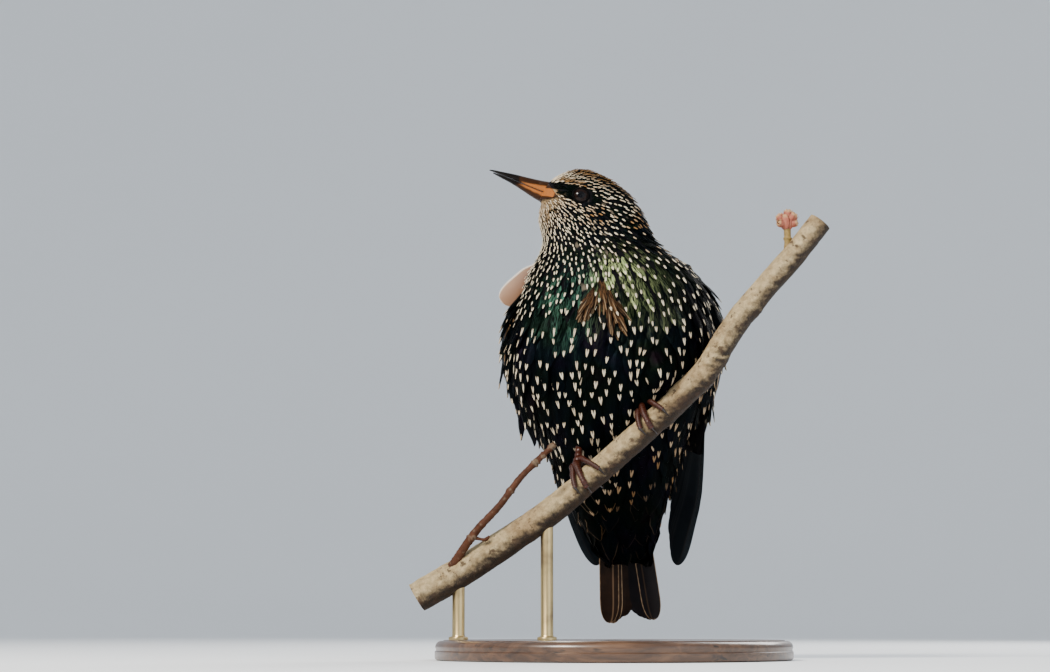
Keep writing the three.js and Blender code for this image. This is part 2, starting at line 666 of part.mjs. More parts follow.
const ballCentre = (u0) => onBranch(u0, -0.6, FOOT_BALL.angle, PERCH_RADIUS + FOOT_BALL.lift);
function shank(u0, ankle, grow) {
  const heel = ballCentre(u0);
  const leg = tube([{ at: heel.toArray(), r: 1.5 }, { at: ankle, r: 1.35 }], 8, 1, grow);
  return leg.add(ball(heel, FOOT_BALL.r + grow, 10, 7));
}

function foot(side, ankle) {
  const u0 = branchFrame(FEET[side].along);
  return union([shank(u0, ankle, 0), ...TOES.map((row) => toe(u0, row))]);
}

// The room that a foot needs in the feathers over it
function footRoom(side, ankle) {
  const u0 = branchFrame(FEET[side].along);
  const rows = [[-10.5, 3.1], [-5, 4.9], [3, 4.9], [7.5, 3.1]]
    .map(([along, over]) => ({ at: onBranch(u0, along, 0, 0).toArray(), r: PERCH_RADIUS + over }));
  return shank(u0, ankle, GAP * 1.2).add(tube(rows, 16, 1));
}

const THIGHS = {
  left: { from: [18, -14, 118], to: [17.5, -36.5, 111.5], r: [13, 7.5], ankle: [13, -17, 111] },
  right: { from: [-11.5, 0, 97], to: [-13.5, -14.5, 85.5], r: [13, 5.5], ankle: [-13, -7, 96] },
};
const thighRows = ({ from, to, r }) => [
  { at: from, r: r[0] },
  { at: V(...from).lerp(V(...to), 0.5).toArray(), r: mix(r[0], r[1], 0.35) },
  { at: V(...from).lerp(V(...to), 0.9).toArray(), r: r[1] },
  { at: to, r: r[1] * 0.6 },
];
let torsoWithRoom = torso;
for (const side of ['left', 'right']) {
  const room = footRoom(side, THIGHS[side].ankle);
  const thigh = tube(thighRows(THIGHS[side]), 12, 1);
  place(`thigh_${side}`, thigh.subtract(wholeClear).subtract(branchSolid(0.5)).subtract(room), 'plumage');
  place(`foot_${side}`, foot(side, THIGHS[side].ankle).subtract(branchSolid(GAP * 0.9)), 'foot');
  torsoWithRoom = torsoWithRoom.subtract(room);
}
place('torso', torsoWithRoom, 'plumage');

// Display stand: a round base and two rods that end in a seat under the branch
const CHAMFER = 1.2;
const profile = [
  [0, 0],
  [BASE_RADIUS - CHAMFER / 2, 0],
  [BASE_RADIUS, CHAMFER / 2],
  [BASE_RADIUS, BASE_HEIGHT - CHAMFER],
  [BASE_RADIUS - CHAMFER, BASE_HEIGHT],
  [0, BASE_HEIGHT],
].map(([r, z]) => new THREE.Vector2(r, z));
const baseGeometry = new THREE.LatheGeometry(profile, 36);
baseGeometry.rotateX(Math.PI / 2);
place('stand_base', solid(baseGeometry), 'base');
ROD_PLACES.forEach((x, i) => {
  const seat = branchCurve.getPointAt(branchFrame(x));
  const foot0 = BASE_HEIGHT + GAP;
  const rod = new THREE.CylinderGeometry(ROD_RADIUS, ROD_RADIUS, seat.z - foot0, 20);
  rod.rotateX(Math.PI / 2);
  rod.translate(seat.x, seat.y, (seat.z + foot0) / 2);
  place(`stand_rod_${i + 1}`, solid(rod).subtract(branchClear), 'rod');
});

export default group;
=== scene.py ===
# A common starling in fresh winter plumage, life size, on a cut length of branch over a display base.
# Shapes are worked out in millimetres, in the frame of the solids, and become metres in each mesh.
import math
from collections import namedtuple
from functools import partialmethod

import bpy
import numpy as np
from mathutils import Matrix, Vector
from mathutils.bvhtree import BVHTree


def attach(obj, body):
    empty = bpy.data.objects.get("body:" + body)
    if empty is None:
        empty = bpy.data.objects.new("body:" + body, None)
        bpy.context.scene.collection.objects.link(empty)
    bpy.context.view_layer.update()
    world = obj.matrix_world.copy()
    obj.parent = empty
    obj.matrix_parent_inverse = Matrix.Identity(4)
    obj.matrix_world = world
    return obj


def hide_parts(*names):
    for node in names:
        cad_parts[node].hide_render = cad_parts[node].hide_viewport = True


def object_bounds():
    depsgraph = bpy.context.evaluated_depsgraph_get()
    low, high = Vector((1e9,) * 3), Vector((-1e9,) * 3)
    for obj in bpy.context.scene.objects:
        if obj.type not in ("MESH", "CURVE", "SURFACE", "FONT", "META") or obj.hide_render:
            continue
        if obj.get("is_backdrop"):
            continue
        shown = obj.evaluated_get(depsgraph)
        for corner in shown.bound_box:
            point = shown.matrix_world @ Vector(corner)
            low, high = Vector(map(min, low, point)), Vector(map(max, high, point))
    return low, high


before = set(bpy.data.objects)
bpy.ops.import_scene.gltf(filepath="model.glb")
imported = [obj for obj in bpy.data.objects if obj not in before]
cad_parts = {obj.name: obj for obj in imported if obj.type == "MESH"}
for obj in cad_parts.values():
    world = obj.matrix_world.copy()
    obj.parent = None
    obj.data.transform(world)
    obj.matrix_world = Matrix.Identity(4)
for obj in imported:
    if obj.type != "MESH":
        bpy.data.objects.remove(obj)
CAD_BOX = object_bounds()
MM = 0.001
RNG = np.random.default_rng(11)

# Head and body, as in the solids
BILL_TILT = math.radians(22)
HEAD_CENTRE = np.array([-9.3, -17.0, 184.8])
BILL_WAY = np.array([-math.cos(BILL_TILT), 0, math.sin(BILL_TILT)])
CROWN_WAY = np.array([math.sin(BILL_TILT), 0.1, math.cos(BILL_TILT)])
LEFT_WAY = np.array([0.0, -1.0, 0.0])
HEAD_RINGS = [  # height, front, back, half depth
    (10.9, 5.5, -1.0, 1.8),
    (10.2, 8.0, -5.5, 4.6),
    (8.6, 11.2, -11.3, 7.7),
    (5.0, 15.2, -18.3, 10.5),
    (0.0, 18.6, -24.2, 11.8),
    (-5.0, 19.2, -29.4, 12.6),
]
BODY_RINGS = [  # x, y, z of the centre, half width, half depth, tilt in degrees
    (-6.3, -17.0, 174.8, 24.9, 13.5, 17.8),
    (-5.1, -16.6, 170.0, 26.2, 15.0, 13.1),
    (-2.7, -16.0, 165.1, 26.7, 17.5, 7.5),
    (-1.6, -15.0, 160.2, 29.6, 20.8, 3.1),
    (-0.8, -13.5, 154.0, 34.0, 24.6, 1.0),
    (0.2, -11.5, 146.3, 37.6, 28.2, 0),
    (0.4, -8.2, 130.8, 41.0, 33.0, 0),
    (0.2, -4.0, 116.9, 41.2, 33.2, 0),
    (0.2, 1.0, 105.3, 37.6, 31.0, 0),
    (0.6, 5.6, 95.6, 31.8, 28.0, 0),
    (1.1, 12.0, 83.7, 26.8, 23.2, 0),
    (2.1, 19.5, 69.6, 22.4, 17.6, 0),
    (3.8, 26.0, 57.4, 17.6, 11.6, 0),
    (5.8, 30.8, 47.2, 12.6, 6.8, 0),
    (7.2, 34.2, 40.0, 7.4, 3.0, 0),
]
SECTION_POWER = 2.25
BRANCH = [  # centre line and radius
    (-78.5, -16, 24.6, 6.2),
    (-54.3, -16.5, 39.2, 6.0),
    (-30.1, -18, 55.3, 5.6),
    (-17.4, -19.5, 65.2, 5.3),
    (2.1, -22, 82.1, 5.2),
    (13.9, -24, 92.7, 5.15),
    (25.7, -27, 103.1, 5.2),
    (35.6, -29, 113.2, 5.1),
    (42.3, -30, 123.9, 5.1),
    (49.6, -30, 134.7, 4.9),
    (61.7, -30, 149.1, 4.8),
    (71.8, -30, 160.4, 4.8),
    (82.0, -30, 173.4, 4.7),
]
THIGH_ENDS = {"left": (17.5, -36.5, 111.5), "right": (-13.5, -14.5, 85.5)}


def mix(a, b, t):
    return a + (b - a) * t


def smooth(x, low, high):
    t = np.clip((np.asarray(x, float) - low) / (high - low), 0, 1)
    return t * t * (3 - 2 * t)


def bell(x, at, spread):
    """1 at a place, falling to 0 on both sides of it."""
    return np.exp(-(((x - at) / spread) ** 2))


def size_of(v):
    return np.linalg.norm(v, axis=-1)


def unit(v):
    return v / np.maximum(size_of(v)[..., None], 1e-9)


def together(*values):
    """Values side by side along a new last axis, each spread to the shape of all."""
    return np.stack(np.broadcast_arrays(*values), -1)


def circle(sides):
    return np.arange(sides) * 2 * math.pi / sides


def hermite(t, p, leaving, q, arriving):
    """A smooth way from p to q for t from 0 to 1."""
    start = (2 * t**3 - 3 * t**2 + 1) * p + (t**3 - 2 * t**2 + t) * leaving
    return start + (3 * t**2 - 2 * t**3) * q + (t**3 - t**2) * arriving


def along_table(table, u):
    """Values of a table between its rows, on a smooth curve."""
    table = np.asarray(table, float)
    last = len(table) - 1
    i = np.clip(np.floor(u).astype(int), 0, last - 1)
    p, q, r, v = (table[np.clip(i + k, 0, last)] for k in (-1, 0, 1, 2))
    return hermite((u - i)[..., None], q, (r - p) / 2, r, (v - q) / 2)


def in_head(along, up, left=0.0):
    out = np.multiply.outer(along, BILL_WAY) + np.multiply.outer(up, CROWN_WAY)
    return HEAD_CENTRE + out + np.multiply.outer(left, LEFT_WAY)


BILL_ROOT = in_head(17.5, -3.5)
HEAD_STATIONS = [
    (*in_head((front + back) / 2, height), (front - back) / 2, deep, math.degrees(BILL_TILT))
    for height, front, back, deep in HEAD_RINGS
]
STATIONS = np.array(HEAD_STATIONS + BODY_RINGS)
LAST = len(STATIONS) - 1


def body_point(u, angle, grow=0.0):
    """Place on the body: u counts the stations from the crown, angle goes round from the view's right."""
    u, angle = np.broadcast_arrays(np.asarray(u, float), np.asarray(angle, float))
    x, y, z, side, deep, tilt = np.moveaxis(along_table(STATIONS, u), -1, 0)
    power = 2 / SECTION_POWER
    c, s = np.cos(angle), np.sin(angle)
    across = np.sign(c) * np.abs(c) ** power * (side + grow)
    back = np.sign(s) * np.abs(s) ** power * (deep + grow)
    tilt = np.radians(tilt)
    return together(x + across * np.cos(tilt), y + back, z - across * np.sin(tilt))


# Meshes
def new_object(name, data):
    thing = bpy.data.objects.new(name, data)
    bpy.context.scene.collection.objects.link(thing)
    return thing


def new_mesh(name, points, faces, slot, material, replaces=(), sharp=None, **attributes):
    """A mesh piece from points in millimetres and faces of equal length or a list of lists.

    Each attribute holds one or three values per point.
    """
    mesh = bpy.data.meshes.new(name)
    if isinstance(faces, np.ndarray):
        count, size = faces.shape
        mesh.vertices.add(len(points))
        mesh.vertices.foreach_set("co", (np.asarray(points) * MM).astype(np.float32).ravel())
        mesh.loops.add(count * size)
        mesh.loops.foreach_set("vertex_index", faces.astype(np.int32).ravel())
        mesh.polygons.add(count)
        mesh.polygons.foreach_set("loop_start", np.arange(0, count * size, size, dtype=np.int32))
        mesh.update(calc_edges=True)
    else:
        mesh.from_pydata((np.asarray(points) * MM).tolist(), [], faces)
    mesh.polygons.foreach_set("use_smooth", np.ones(len(mesh.polygons), bool))
    if sharp:
        mesh.set_sharp_from_angle(angle=math.radians(sharp))
    for key, values in attributes.items():
        values = np.asarray(values, np.float32)
        if values.ndim == 1:
            values = together(values, values, values)
        mesh.attributes.new(key, "FLOAT_VECTOR", "POINT").data.foreach_set("vector", values.ravel())
    mesh.materials.append(material)
    piece = new_object(name, mesh)
    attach(piece, "root")
    if replaces:
        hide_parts(*replaces)
    return piece


def loft_faces(rings, sides):
    """Faces of a closed skin through rings; each end is closed by a fan to one more point."""
    faces = []
    for i in range(rings - 1):
        for j in range(sides):
            k = (j + 1) % sides
            faces.append([i * sides + j, i * sides + k, (i + 1) * sides + k, (i + 1) * sides + j])
    start, end = rings * sides, rings * sides + 1
    for j in range(sides):
        k = (j + 1) % sides
        faces.append([start, k, j])
        faces.append([end, (rings - 1) * sides + j, (rings - 1) * sides + k])
    return faces


def loft(rings):
    """Points and faces of a closed skin through an array of rings (n, sides, 3)."""
    rings = np.asarray(rings, float)
    ends = np.stack([rings[0].mean(0), rings[-1].mean(0)])
    return np.concatenate([rings.reshape(-1, 3), ends]), loft_faces(*rings.shape[:2])


def with_ends(values):
    """Values of a loft's points from those of its rings; each end takes the mean of its ring."""
    ends = [[values[0].mean(0)], [values[-1].mean(0)]]
    return np.concatenate([values.reshape(-1, *values.shape[2:]), *ends])


def capped(values):
    """Values of a loft's points from those of its rings; each end takes the value next to it."""
    values = values.reshape(-1, 3)
    return np.concatenate([values, values[:1], values[-1:]])


def strip(columns):
    """Round a thin section: the place across, out and back, with 1 for its top and -1 for its underside."""
    t = np.linspace(-1, 1, columns + 1)
    return np.concatenate([t, t[1:-1][::-1]]), np.where(np.arange(2 * columns) <= columns, 1.0, -1.0)


def joined(parts):
    """Several (points, faces) lists as one."""
    points, faces, start = [], [], 0
    for part_points, part_faces in parts:
        points.append(np.asarray(part_points, float))
        faces += [[v + start for v in face] for face in part_faces]
        start += len(part_points)
    return np.concatenate(points), faces


def tube(centres, radii, sides, shape=None):
    """Rings of a round tube with the least twist; shape(t, angle) scales the radius."""
    centres = np.asarray(centres, float)
    way = unit(np.gradient(centres, axis=0))
    side = np.zeros_like(way)
    last = LEFT_WAY
    for i, w in enumerate(way):
        last = unit(last - w * (last @ w))
        side[i] = last
    up = np.cross(side, way)
    angle = circle(sides)
    radius = np.broadcast_to(np.asarray(radii, float)[:, None], (len(centres), sides)).copy()
    if shape is not None:
        radius *= shape(np.linspace(0, 1, len(centres))[:, None], angle[None, :])
    ring = side[:, None] * np.cos(angle)[None, :, None] + up[:, None] * np.sin(angle)[None, :, None]
    return centres[:, None] + ring * radius[..., None]


OCTAVES, WAVES_EACH = 3, 5


def waves(points, size, seed):
    """Smooth noise from -1 to 1 made of sine waves, for bumps of about the given size in millimetres."""
    rng = np.random.default_rng(seed)
    total = np.zeros(points.shape[:-1])
    for octave in range(OCTAVES):
        for _ in range(WAVES_EACH):
            way = unit(rng.normal(size=3)) * 2 * math.pi / (size / 2**octave) * rng.uniform(0.6, 1.3)
            total += np.sin(points @ way + rng.uniform(0, 6.28)) / 2**octave / WAVES_EACH
    return total


CURVE_SAMPLES = 1600


class Curve:
    """A centripetal Catmull-Rom curve through points, read by its length."""

    def __init__(self, points):
        p = np.asarray(points, float)
        p = np.concatenate([[2 * p[0] - p[1]], p, [2 * p[-1] - p[-2]]])
        out = []
        for i in range(1, len(p) - 2):
            a, b, c, d = p[i - 1 : i + 3]
            t0, t1, t2 = (max(size_of(v) ** 0.5, 1e-6) for v in (b - a, c - b, d - c))
            m1 = ((b - a) / t0 - (c - a) / (t0 + t1) + (c - b) / t1) * t1
            m2 = ((c - b) / t1 - (d - b) / (t1 + t2) + (d - c) / t2) * t1
            t = np.linspace(0, 1, CURVE_SAMPLES // (len(p) - 3), endpoint=False)[:, None]
            out.append(hermite(t, b, m1, c, m2))
        self.points = np.concatenate(out + [p[-2:-1]])
        steps = size_of(np.diff(self.points, axis=0))
        self.at = np.concatenate([[0], np.cumsum(steps)])
        self.length = self.at[-1]
        self.ways = unit(np.gradient(self.points, axis=0))

    def point(self, l):
        return together(*(np.interp(l, self.at, column) for column in self.points.T))

    def way(self, l):
        return unit(together(*(np.interp(l, self.at, column) for column in self.ways.T)))


# Materials
class Nodes:
    """Short ways to make a node material."""

    def __init__(self, name):
        self.material = bpy.data.materials.new(name)
        self.material.use_nodes = True
        self.tree = self.material.node_tree
        self.shader = self.tree.nodes["Principled BSDF"]

    def new(self, kind, values=(), **settings):
        """A node with its settings, and its inputs by number or name."""
        node = self.tree.nodes.new("ShaderNode" + kind)
        for key, value in settings.items():
            setattr(node, key, value)
        for key, value in dict(values).items():
            self.put(node.inputs[key], value)
        return node

    def put(self, socket, value):
        if isinstance(value, bpy.types.NodeSocket):
            self.tree.links.new(value, socket)
        elif isinstance(value, tuple) and len(value) == 3 and len(socket.default_value) == 4:
            socket.default_value = (*value, 1)
        else:
            socket.default_value = value

    def math(self, operation, *values):
        return self.new("Math", enumerate(values), operation=operation).outputs[0]

    abs = partialmethod(math, "ABSOLUTE")
    add = partialmethod(math, "ADD")
    div = partialmethod(math, "DIVIDE")
    mad = partialmethod(math, "MULTIPLY_ADD")
    max = partialmethod(math, "MAXIMUM")
    min = partialmethod(math, "MINIMUM")
    mul = partialmethod(math, "MULTIPLY")
    root = partialmethod(math, "SQRT")
    sine = partialmethod(math, "SINE")
    sub = partialmethod(math, "SUBTRACT")

    def step(self, *values):
        """A smooth step of a value from low to high, from 0 to 1 or as given."""
        values = values + (0.0, 1.0)[len(values) - 3 :]
        return self.new("MapRange", enumerate(values), interpolation_type="SMOOTHSTEP").outputs[0]

    def mix(self, share, a, b):
        return self.new("Mix", {0: share, 6: a, 7: b}, data_type="RGBA").outputs[2]

    def split(self, vector):
        return self.new("SeparateXYZ", {0: vector}).outputs

    def attribute(self, name):
        return self.split(self.new("Attribute", attribute_name=name).outputs["Vector"])

    def place(self):
        return self.new("TexCoord").outputs["Object"]

    def scaled(self, vector, scale):
        return self.new("Mapping", {"Vector": vector, "Scale": scale}).outputs[0]

    def vector(self, *parts):
        return self.new("CombineXYZ", enumerate(parts)).outputs[0]

    def noise(self, scale, detail=3.0, vector=None, rough=0.5, distortion=0.0):
        vector = self.place() if vector is None else vector
        values = {"Scale": scale, "Detail": detail, "Roughness": rough, "Distortion": distortion}
        return self.new("TexNoise", {"Vector": vector, **values}).outputs[0]

    def ramp(self, value, *stops):
        node = self.new("ValToRGB", {0: value})
        elements = node.color_ramp.elements
        while len(elements) < len(stops):
            elements.new(0.5)
        for element, (at, colour) in zip(elements, stops):
            element.position = at
            element.color = (*colour, 1)
        return node.outputs[0]

    def bump(self, height, strength, distance):
        values = {"Height": height, "Strength": strength, "Distance": distance}
        return self.set(Normal=self.new("Bump", values).outputs[0])

    def set(self, **values):
        for key, value in values.items():
            self.put(self.shader.inputs[key.replace("_", " ")], value)
        return self.material


def plumage_material():
    """Contour feathers. Attributes: feather = (off the shaft, from the tip, share of length) in mm,
    mark = (spot length, spot half width, kind), tone = (warm, strength of the painted sheen highlight,
    brown), rim = (in from the edge in mm, share of pale edging)."""
    n = Nodes("plumage")
    across, from_tip, share = n.attribute("feather")
    length, half, kind = n.attribute("mark")
    warm, painted_sheen_strength, brown = n.attribute("tone")
    off = n.abs(across)
    ragged = n.mad(n.noise(1900, 2), 0.5, -0.25)
    t = n.div(n.add(from_tip, ragged), n.max(length, 0.01))
    x = n.div(n.add(off, n.mul(ragged, 0.5)), n.max(half, 0.01))
    wedge = n.min(n.mad(t, 1.35, 0.16), 1.0)
    centred = n.mad(t, 2.0, -1.0)
    oval = n.root(n.max(n.sub(1.15, n.mul(centred, centred)), 0.0))
    outline = n.add(n.mul(wedge, kind), n.mul(oval, n.sub(1.0, kind)))
    inside = n.step(n.sub(outline, x), -0.12, 0.12)
    below = n.step(t, 0.94, 1.06, 1.0, 0.0)
    notch_at = n.mad(x, 0.95, 0.52)
    notch = n.step(n.sub(t, notch_at), -0.05, 0.08, 1.0, 0.0)
    notch = n.max(notch, n.sub(1.0, kind))
    shown = n.step(length, 0.02, 0.2)
    spot = n.mul(n.mul(inside, below), n.mul(notch, shown))
    cream = n.mix(n.mul(n.noise(2600, 2), 0.4), (0.68, 0.58, 0.41), (0.82, 0.76, 0.64))
    pale = n.mix(warm, cream, (0.27, 0.14, 0.05))
    # warm above 1 darkens the pale marks; the belly coat uses this for painted shade near and under the
    # branch
    pale = n.mix(n.step(warm, 1.0, 2.0), pale, (0.045, 0.032, 0.022))
    rim = n.attribute("rim")
    edging = n.mul(n.step(n.add(rim[0], ragged), 0.30, 0.55, 1.0, 0.0), rim[1])
    edging = n.mul(edging, n.step(from_tip, 6.0, 10.0, 1.0, 0.0))
    spot = n.max(spot, edging)

    patches = n.noise(55, 2)
    sheen = n.ramp(
        patches,
        (0.3, (0.004, 0.002, 0.006)),
        (0.45, (0.0015, 0.003, 0.0045)),
        (0.6, (0.0018, 0.004, 0.0025)),
        (0.72, (0.004, 0.002, 0.0035)),
    )
    # painted highlight: pale bluish and yellowish sheen colours in fine stripes along the hackles, placed on
    # the throat and upper breast where the light glints
    teal_sheen_paint = n.mix(n.noise(160, 2), (0.02, 0.13, 0.10), (0.24, 0.55, 0.36))
    straw_sheen_paint = n.mix(n.noise(160, 2), (0.17, 0.30, 0.08), (0.86, 0.92, 0.44))
    painted_sheen_colour = n.mix(n.step(n.split(n.place())[0], -0.016, -0.002), teal_sheen_paint, straw_sheen_paint)
    hairs = n.noise(1100, 3, n.vector(n.mul(across, 0.0022), n.mul(from_tip, 0.0003), warm))
    painted_sheen_stripes = n.mul(n.step(off, 0.9, 2.2, 1.0, 0.3), n.step(hairs, 0.42, 0.58, 0.04, 1.0))
    painted_sheen_share = n.mul(painted_sheen_strength, painted_sheen_stripes)
    dark = n.mix(painted_sheen_share, sheen, painted_sheen_colour)
    shaft = n.step(off, 0.10, 0.22, 1.0, 0.0)
    brown_vane = n.mix(n.step(hairs, 0.38, 0.62), (0.006, 0.003, 0.002), (0.085, 0.040, 0.015))
    brown_vane = n.mix(n.mul(shaft, n.step(share, 0.45, 0.8)), brown_vane, (0.22, 0.15, 0.085))
    dark = n.mix(brown, dark, brown_vane)
    base = n.mix(spot, dark, pale)
    plain = n.max(spot, brown)
    # the painted sheen is kept mostly diffuse so that it shows bright under the lamps
    diffuse = n.max(plain, n.mul(painted_sheen_share, 0.75))
    n.set(Base_Color=base, Metallic=n.mul(n.sub(1.0, diffuse), 0.88))
    n.set(Roughness=n.add(n.mul(plain, 0.25), n.mad(n.noise(300, 2), 0.16, 0.30)), Specular_IOR_Level=0.25)
    n.set(Specular_Tint=(0.16, 0.18, 0.20, 1))
    slant = n.mad(off, 0.9, from_tip)
    barbs = n.sine(n.mul(slant, 26.0))
    rough = n.noise(1500, 2)
    height = n.add(n.mul(barbs, 0.35), n.add(rough, n.mul(shaft, 0.8)))
    return n.bump(height, 0.55, 0.00012)


def skin_material():
    """Skin under the coat: black, with the coat's pale marks on the face, the breast and the belly."""
    n = Nodes("skin_under_coat")
    cells = n.new("TexVoronoi", {"Vector": n.scaled(n.place(), (1, 1, 0.6)), "Scale": 230})
    spots = n.step(cells.outputs["Distance"], 0.16, 0.3, 1.0, 0.0)
    face = n.attribute("face")[0]
    marks = n.mix(n.mul(spots, 0.35), (0.004, 0.004, 0.005), (0.30, 0.25, 0.18))
    buff = n.mix(n.noise(1400, 2), (0.05, 0.03, 0.016), (0.40, 0.27, 0.14))
    n.set(Base_Color=n.mix(face, marks, buff), Roughness=0.9, Specular_IOR_Level=0.05)
    return n.bump(n.noise(900, 3), 0.4, 0.0002)


def flight_material():
    """Flight and tail feathers. feather is as above, mark = (place across from -1 to 1, width of the pale
    fringe as a share, gloss), tone = (warm, brown, how far on the fringed side)."""
    n = Nodes("flight_feather")
    across, from_tip, _ = n.attribute("feather")
    place, fringe, gloss = n.attribute("mark")
    warm, brown, fringed = n.attribute("tone")
    off = n.abs(across)
    ragged = n.mad(n.noise(700, 2), 0.10, -0.05)
    edge = n.sub(1.0, n.add(n.abs(place), ragged))
    rim = n.step(n.sub(edge, fringe), -0.05, 0.05, 1.0, 0.0)
    rim = n.mul(rim, n.step(fringed, 0.50, 0.56))
    vane = n.mix(n.noise(120, 3), (0.003, 0.0045, 0.008), (0.007, 0.009, 0.015))
    glossy = n.mix(n.noise(90, 2), (0.003, 0.010, 0.016), (0.005, 0.012, 0.008))
    vane = n.mix(n.mul(gloss, 0.7), vane, glossy)
    # the upper side of each vane grows paler across it towards one edge, so that overlapping feathers stand
    # apart: painted shade between the feathers
    overlap_shading = n.mul(n.step(place, -0.6, 0.95), fringed)
    vane = n.mix(n.mul(overlap_shading, 0.75), vane, (0.030, 0.029, 0.032))
    browned = n.mix(n.noise(260, 3), (0.006, 0.0035, 0.0025), (0.034, 0.016, 0.008))
    vane = n.mix(brown, vane, browned)
    # brown tail feathers turn black towards their roots, where they run in under the body: painted shade
    vane = n.mix(n.mul(n.step(from_tip, 20, 36), n.step(brown, 0.05, 0.2)), vane, (0.002, 0.002, 0.002))
    pale = n.mix(warm, (0.44, 0.33, 0.21), (0.32, 0.17, 0.075))
    base = n.mix(rim, vane, pale)
    shaft = n.step(off, 0.22, 0.40, 1.0, 0.0)
    base = n.mix(n.mul(shaft, 0.6), base, n.mix(brown, (0.012, 0.009, 0.008), (0.26, 0.16, 0.09)))
    n.set(Base_Color=base, Metallic=n.mul(n.sub(1.0, n.max(rim, brown)), 0.35))
    n.set(Roughness=n.mad(n.noise(200, 2), 0.2, 0.30), Specular_IOR_Level=0.3)
    n.set(Specular_Tint=(0.4, 0.45, 0.5, 1))
    slant = n.mad(off, 0.8, from_tip)
    barbs = n.sine(n.mul(slant, 17.0))
    return n.bump(n.add(barbs, n.noise(1200, 2)), 0.35, 0.0001)


def loose_material():
    n = Nodes("loose_feather")
    across, from_tip, _ = n.attribute("feather")
    place = n.attribute("mark")[0]
    edge = n.step(n.abs(place), 0.84, 1.0)
    inner = n.step(n.add(from_tip, n.mul(across, 0.6)), 1.0, 16.0)
    vane = n.mix(inner, (0.26, 0.14, 0.08), (0.14, 0.055, 0.022))
    n.set(Base_Color=n.mix(edge, vane, (0.66, 0.58, 0.49)), Roughness=0.5, Subsurface_Weight=0.15)
    n.set(Subsurface_Radius=(0.004, 0.003, 0.002), Subsurface_Scale=0.5)
    slant = n.mad(n.abs(across), 0.9, from_tip)
    return n.bump(n.sine(n.mul(slant, 14.0)), 0.3, 0.0001)


def bill_material():
    """Horn: orange brown at the base, dark along the culmen and towards the tip, and dark below as painted
    shade.
    """
    n = Nodes("bill_horn")
    along, up, side = n.attribute("bill")
    ragged = n.mad(n.noise(380, 3), 3.4, -1.7)
    tip = n.step(n.add(along, ragged), 25.5, 30.5)
    ridge_from = n.step(along, 18.0, 30.0, 0.46, 0.12)
    ridge = n.sub(n.add(up, n.mul(ragged, 0.05)), ridge_from)
    culmen = n.step(ridge, -0.08, 0.12)
    # the underside of the bill is darkened as painted shade
    under = n.step(n.add(up, n.mul(ragged, 0.10)), -0.52, -0.22, 1.0, 0.0)
    streaks = n.noise(60, 4, n.scaled(n.vector(along, up, side), (0.02, 0.35, 0.1)))
    warm = n.mix(streaks, (0.14, 0.038, 0.009), (0.43, 0.155, 0.036))
    dark = n.mix(n.noise(240, 3), (0.0008, 0.0008, 0.0008), (0.006, 0.004, 0.003))
    share = n.max(n.max(tip, n.mul(culmen, 0.92)), n.mul(under, 0.9))
    n.set(Base_Color=n.mix(share, warm, dark), Roughness=n.mad(n.noise(500, 3), 0.18, 0.26))
    n.set(Specular_IOR_Level=0.07)
    return n.bump(n.add(n.noise(900, 3), n.mul(streaks, 2.0)), 0.25, 0.0001)


def eye_material():
    n = Nodes("eye_glass")
    from_axis = n.attribute("eye")[0]
    fibres = n.noise(1500, 3)
    iris = n.mix(fibres, (0.003, 0.0014, 0.001), (0.013, 0.005, 0.0025))
    pupil = n.step(from_axis, 1.35, 1.6, 1.0, 0.0)
    ring = n.step(from_axis, 2.5, 2.9)
    base = n.mix(pupil, iris, (0.003, 0.003, 0.004))
    n.set(Base_Color=n.mix(ring, base, (0.002, 0.002, 0.002)), Roughness=0.06, Specular_IOR_Level=0.14)
    return n.material


def lid_material():
    n = Nodes("eyelid")
    black = n.mix(n.noise(1400, 3), (0.0005, 0.0005, 0.0005), (0.002, 0.002, 0.002))
    n.set(Base_Color=black, Roughness=0.7)
    n.set(Specular_IOR_Level=0.04)
    return n.bump(n.noise(2600, 3), 0.5, 0.0001)


def foot_material():
    n = Nodes("foot_scutes")
    ring, top, _ = n.attribute("toe")
    crease = n.step(ring, 0.08, 0.32)
    tone = n.mix(n.noise(420, 3), (0.012, 0.003, 0.0015), (0.070, 0.015, 0.006))
    tone = n.mix(top, n.mix(0.5, tone, (0.012, 0.006, 0.004)), tone)
    n.set(Base_Color=n.mix(crease, (0.012, 0.004, 0.003), tone))
    n.set(Roughness=n.mad(n.noise(800, 3), 0.2, 0.22), Specular_IOR_Level=0.35)
    return n.bump(n.add(crease, n.mul(n.noise(1800, 3), 0.5)), 0.4, 0.00012)


def claw_material():
    n = Nodes("claw_horn")
    n.set(Base_Color=n.mix(n.noise(600, 2), (0.006, 0.004, 0.004), (0.035, 0.020, 0.014)), Roughness=0.25)
    return n.bump(n.noise(1500, 2), 0.2, 0.0001)


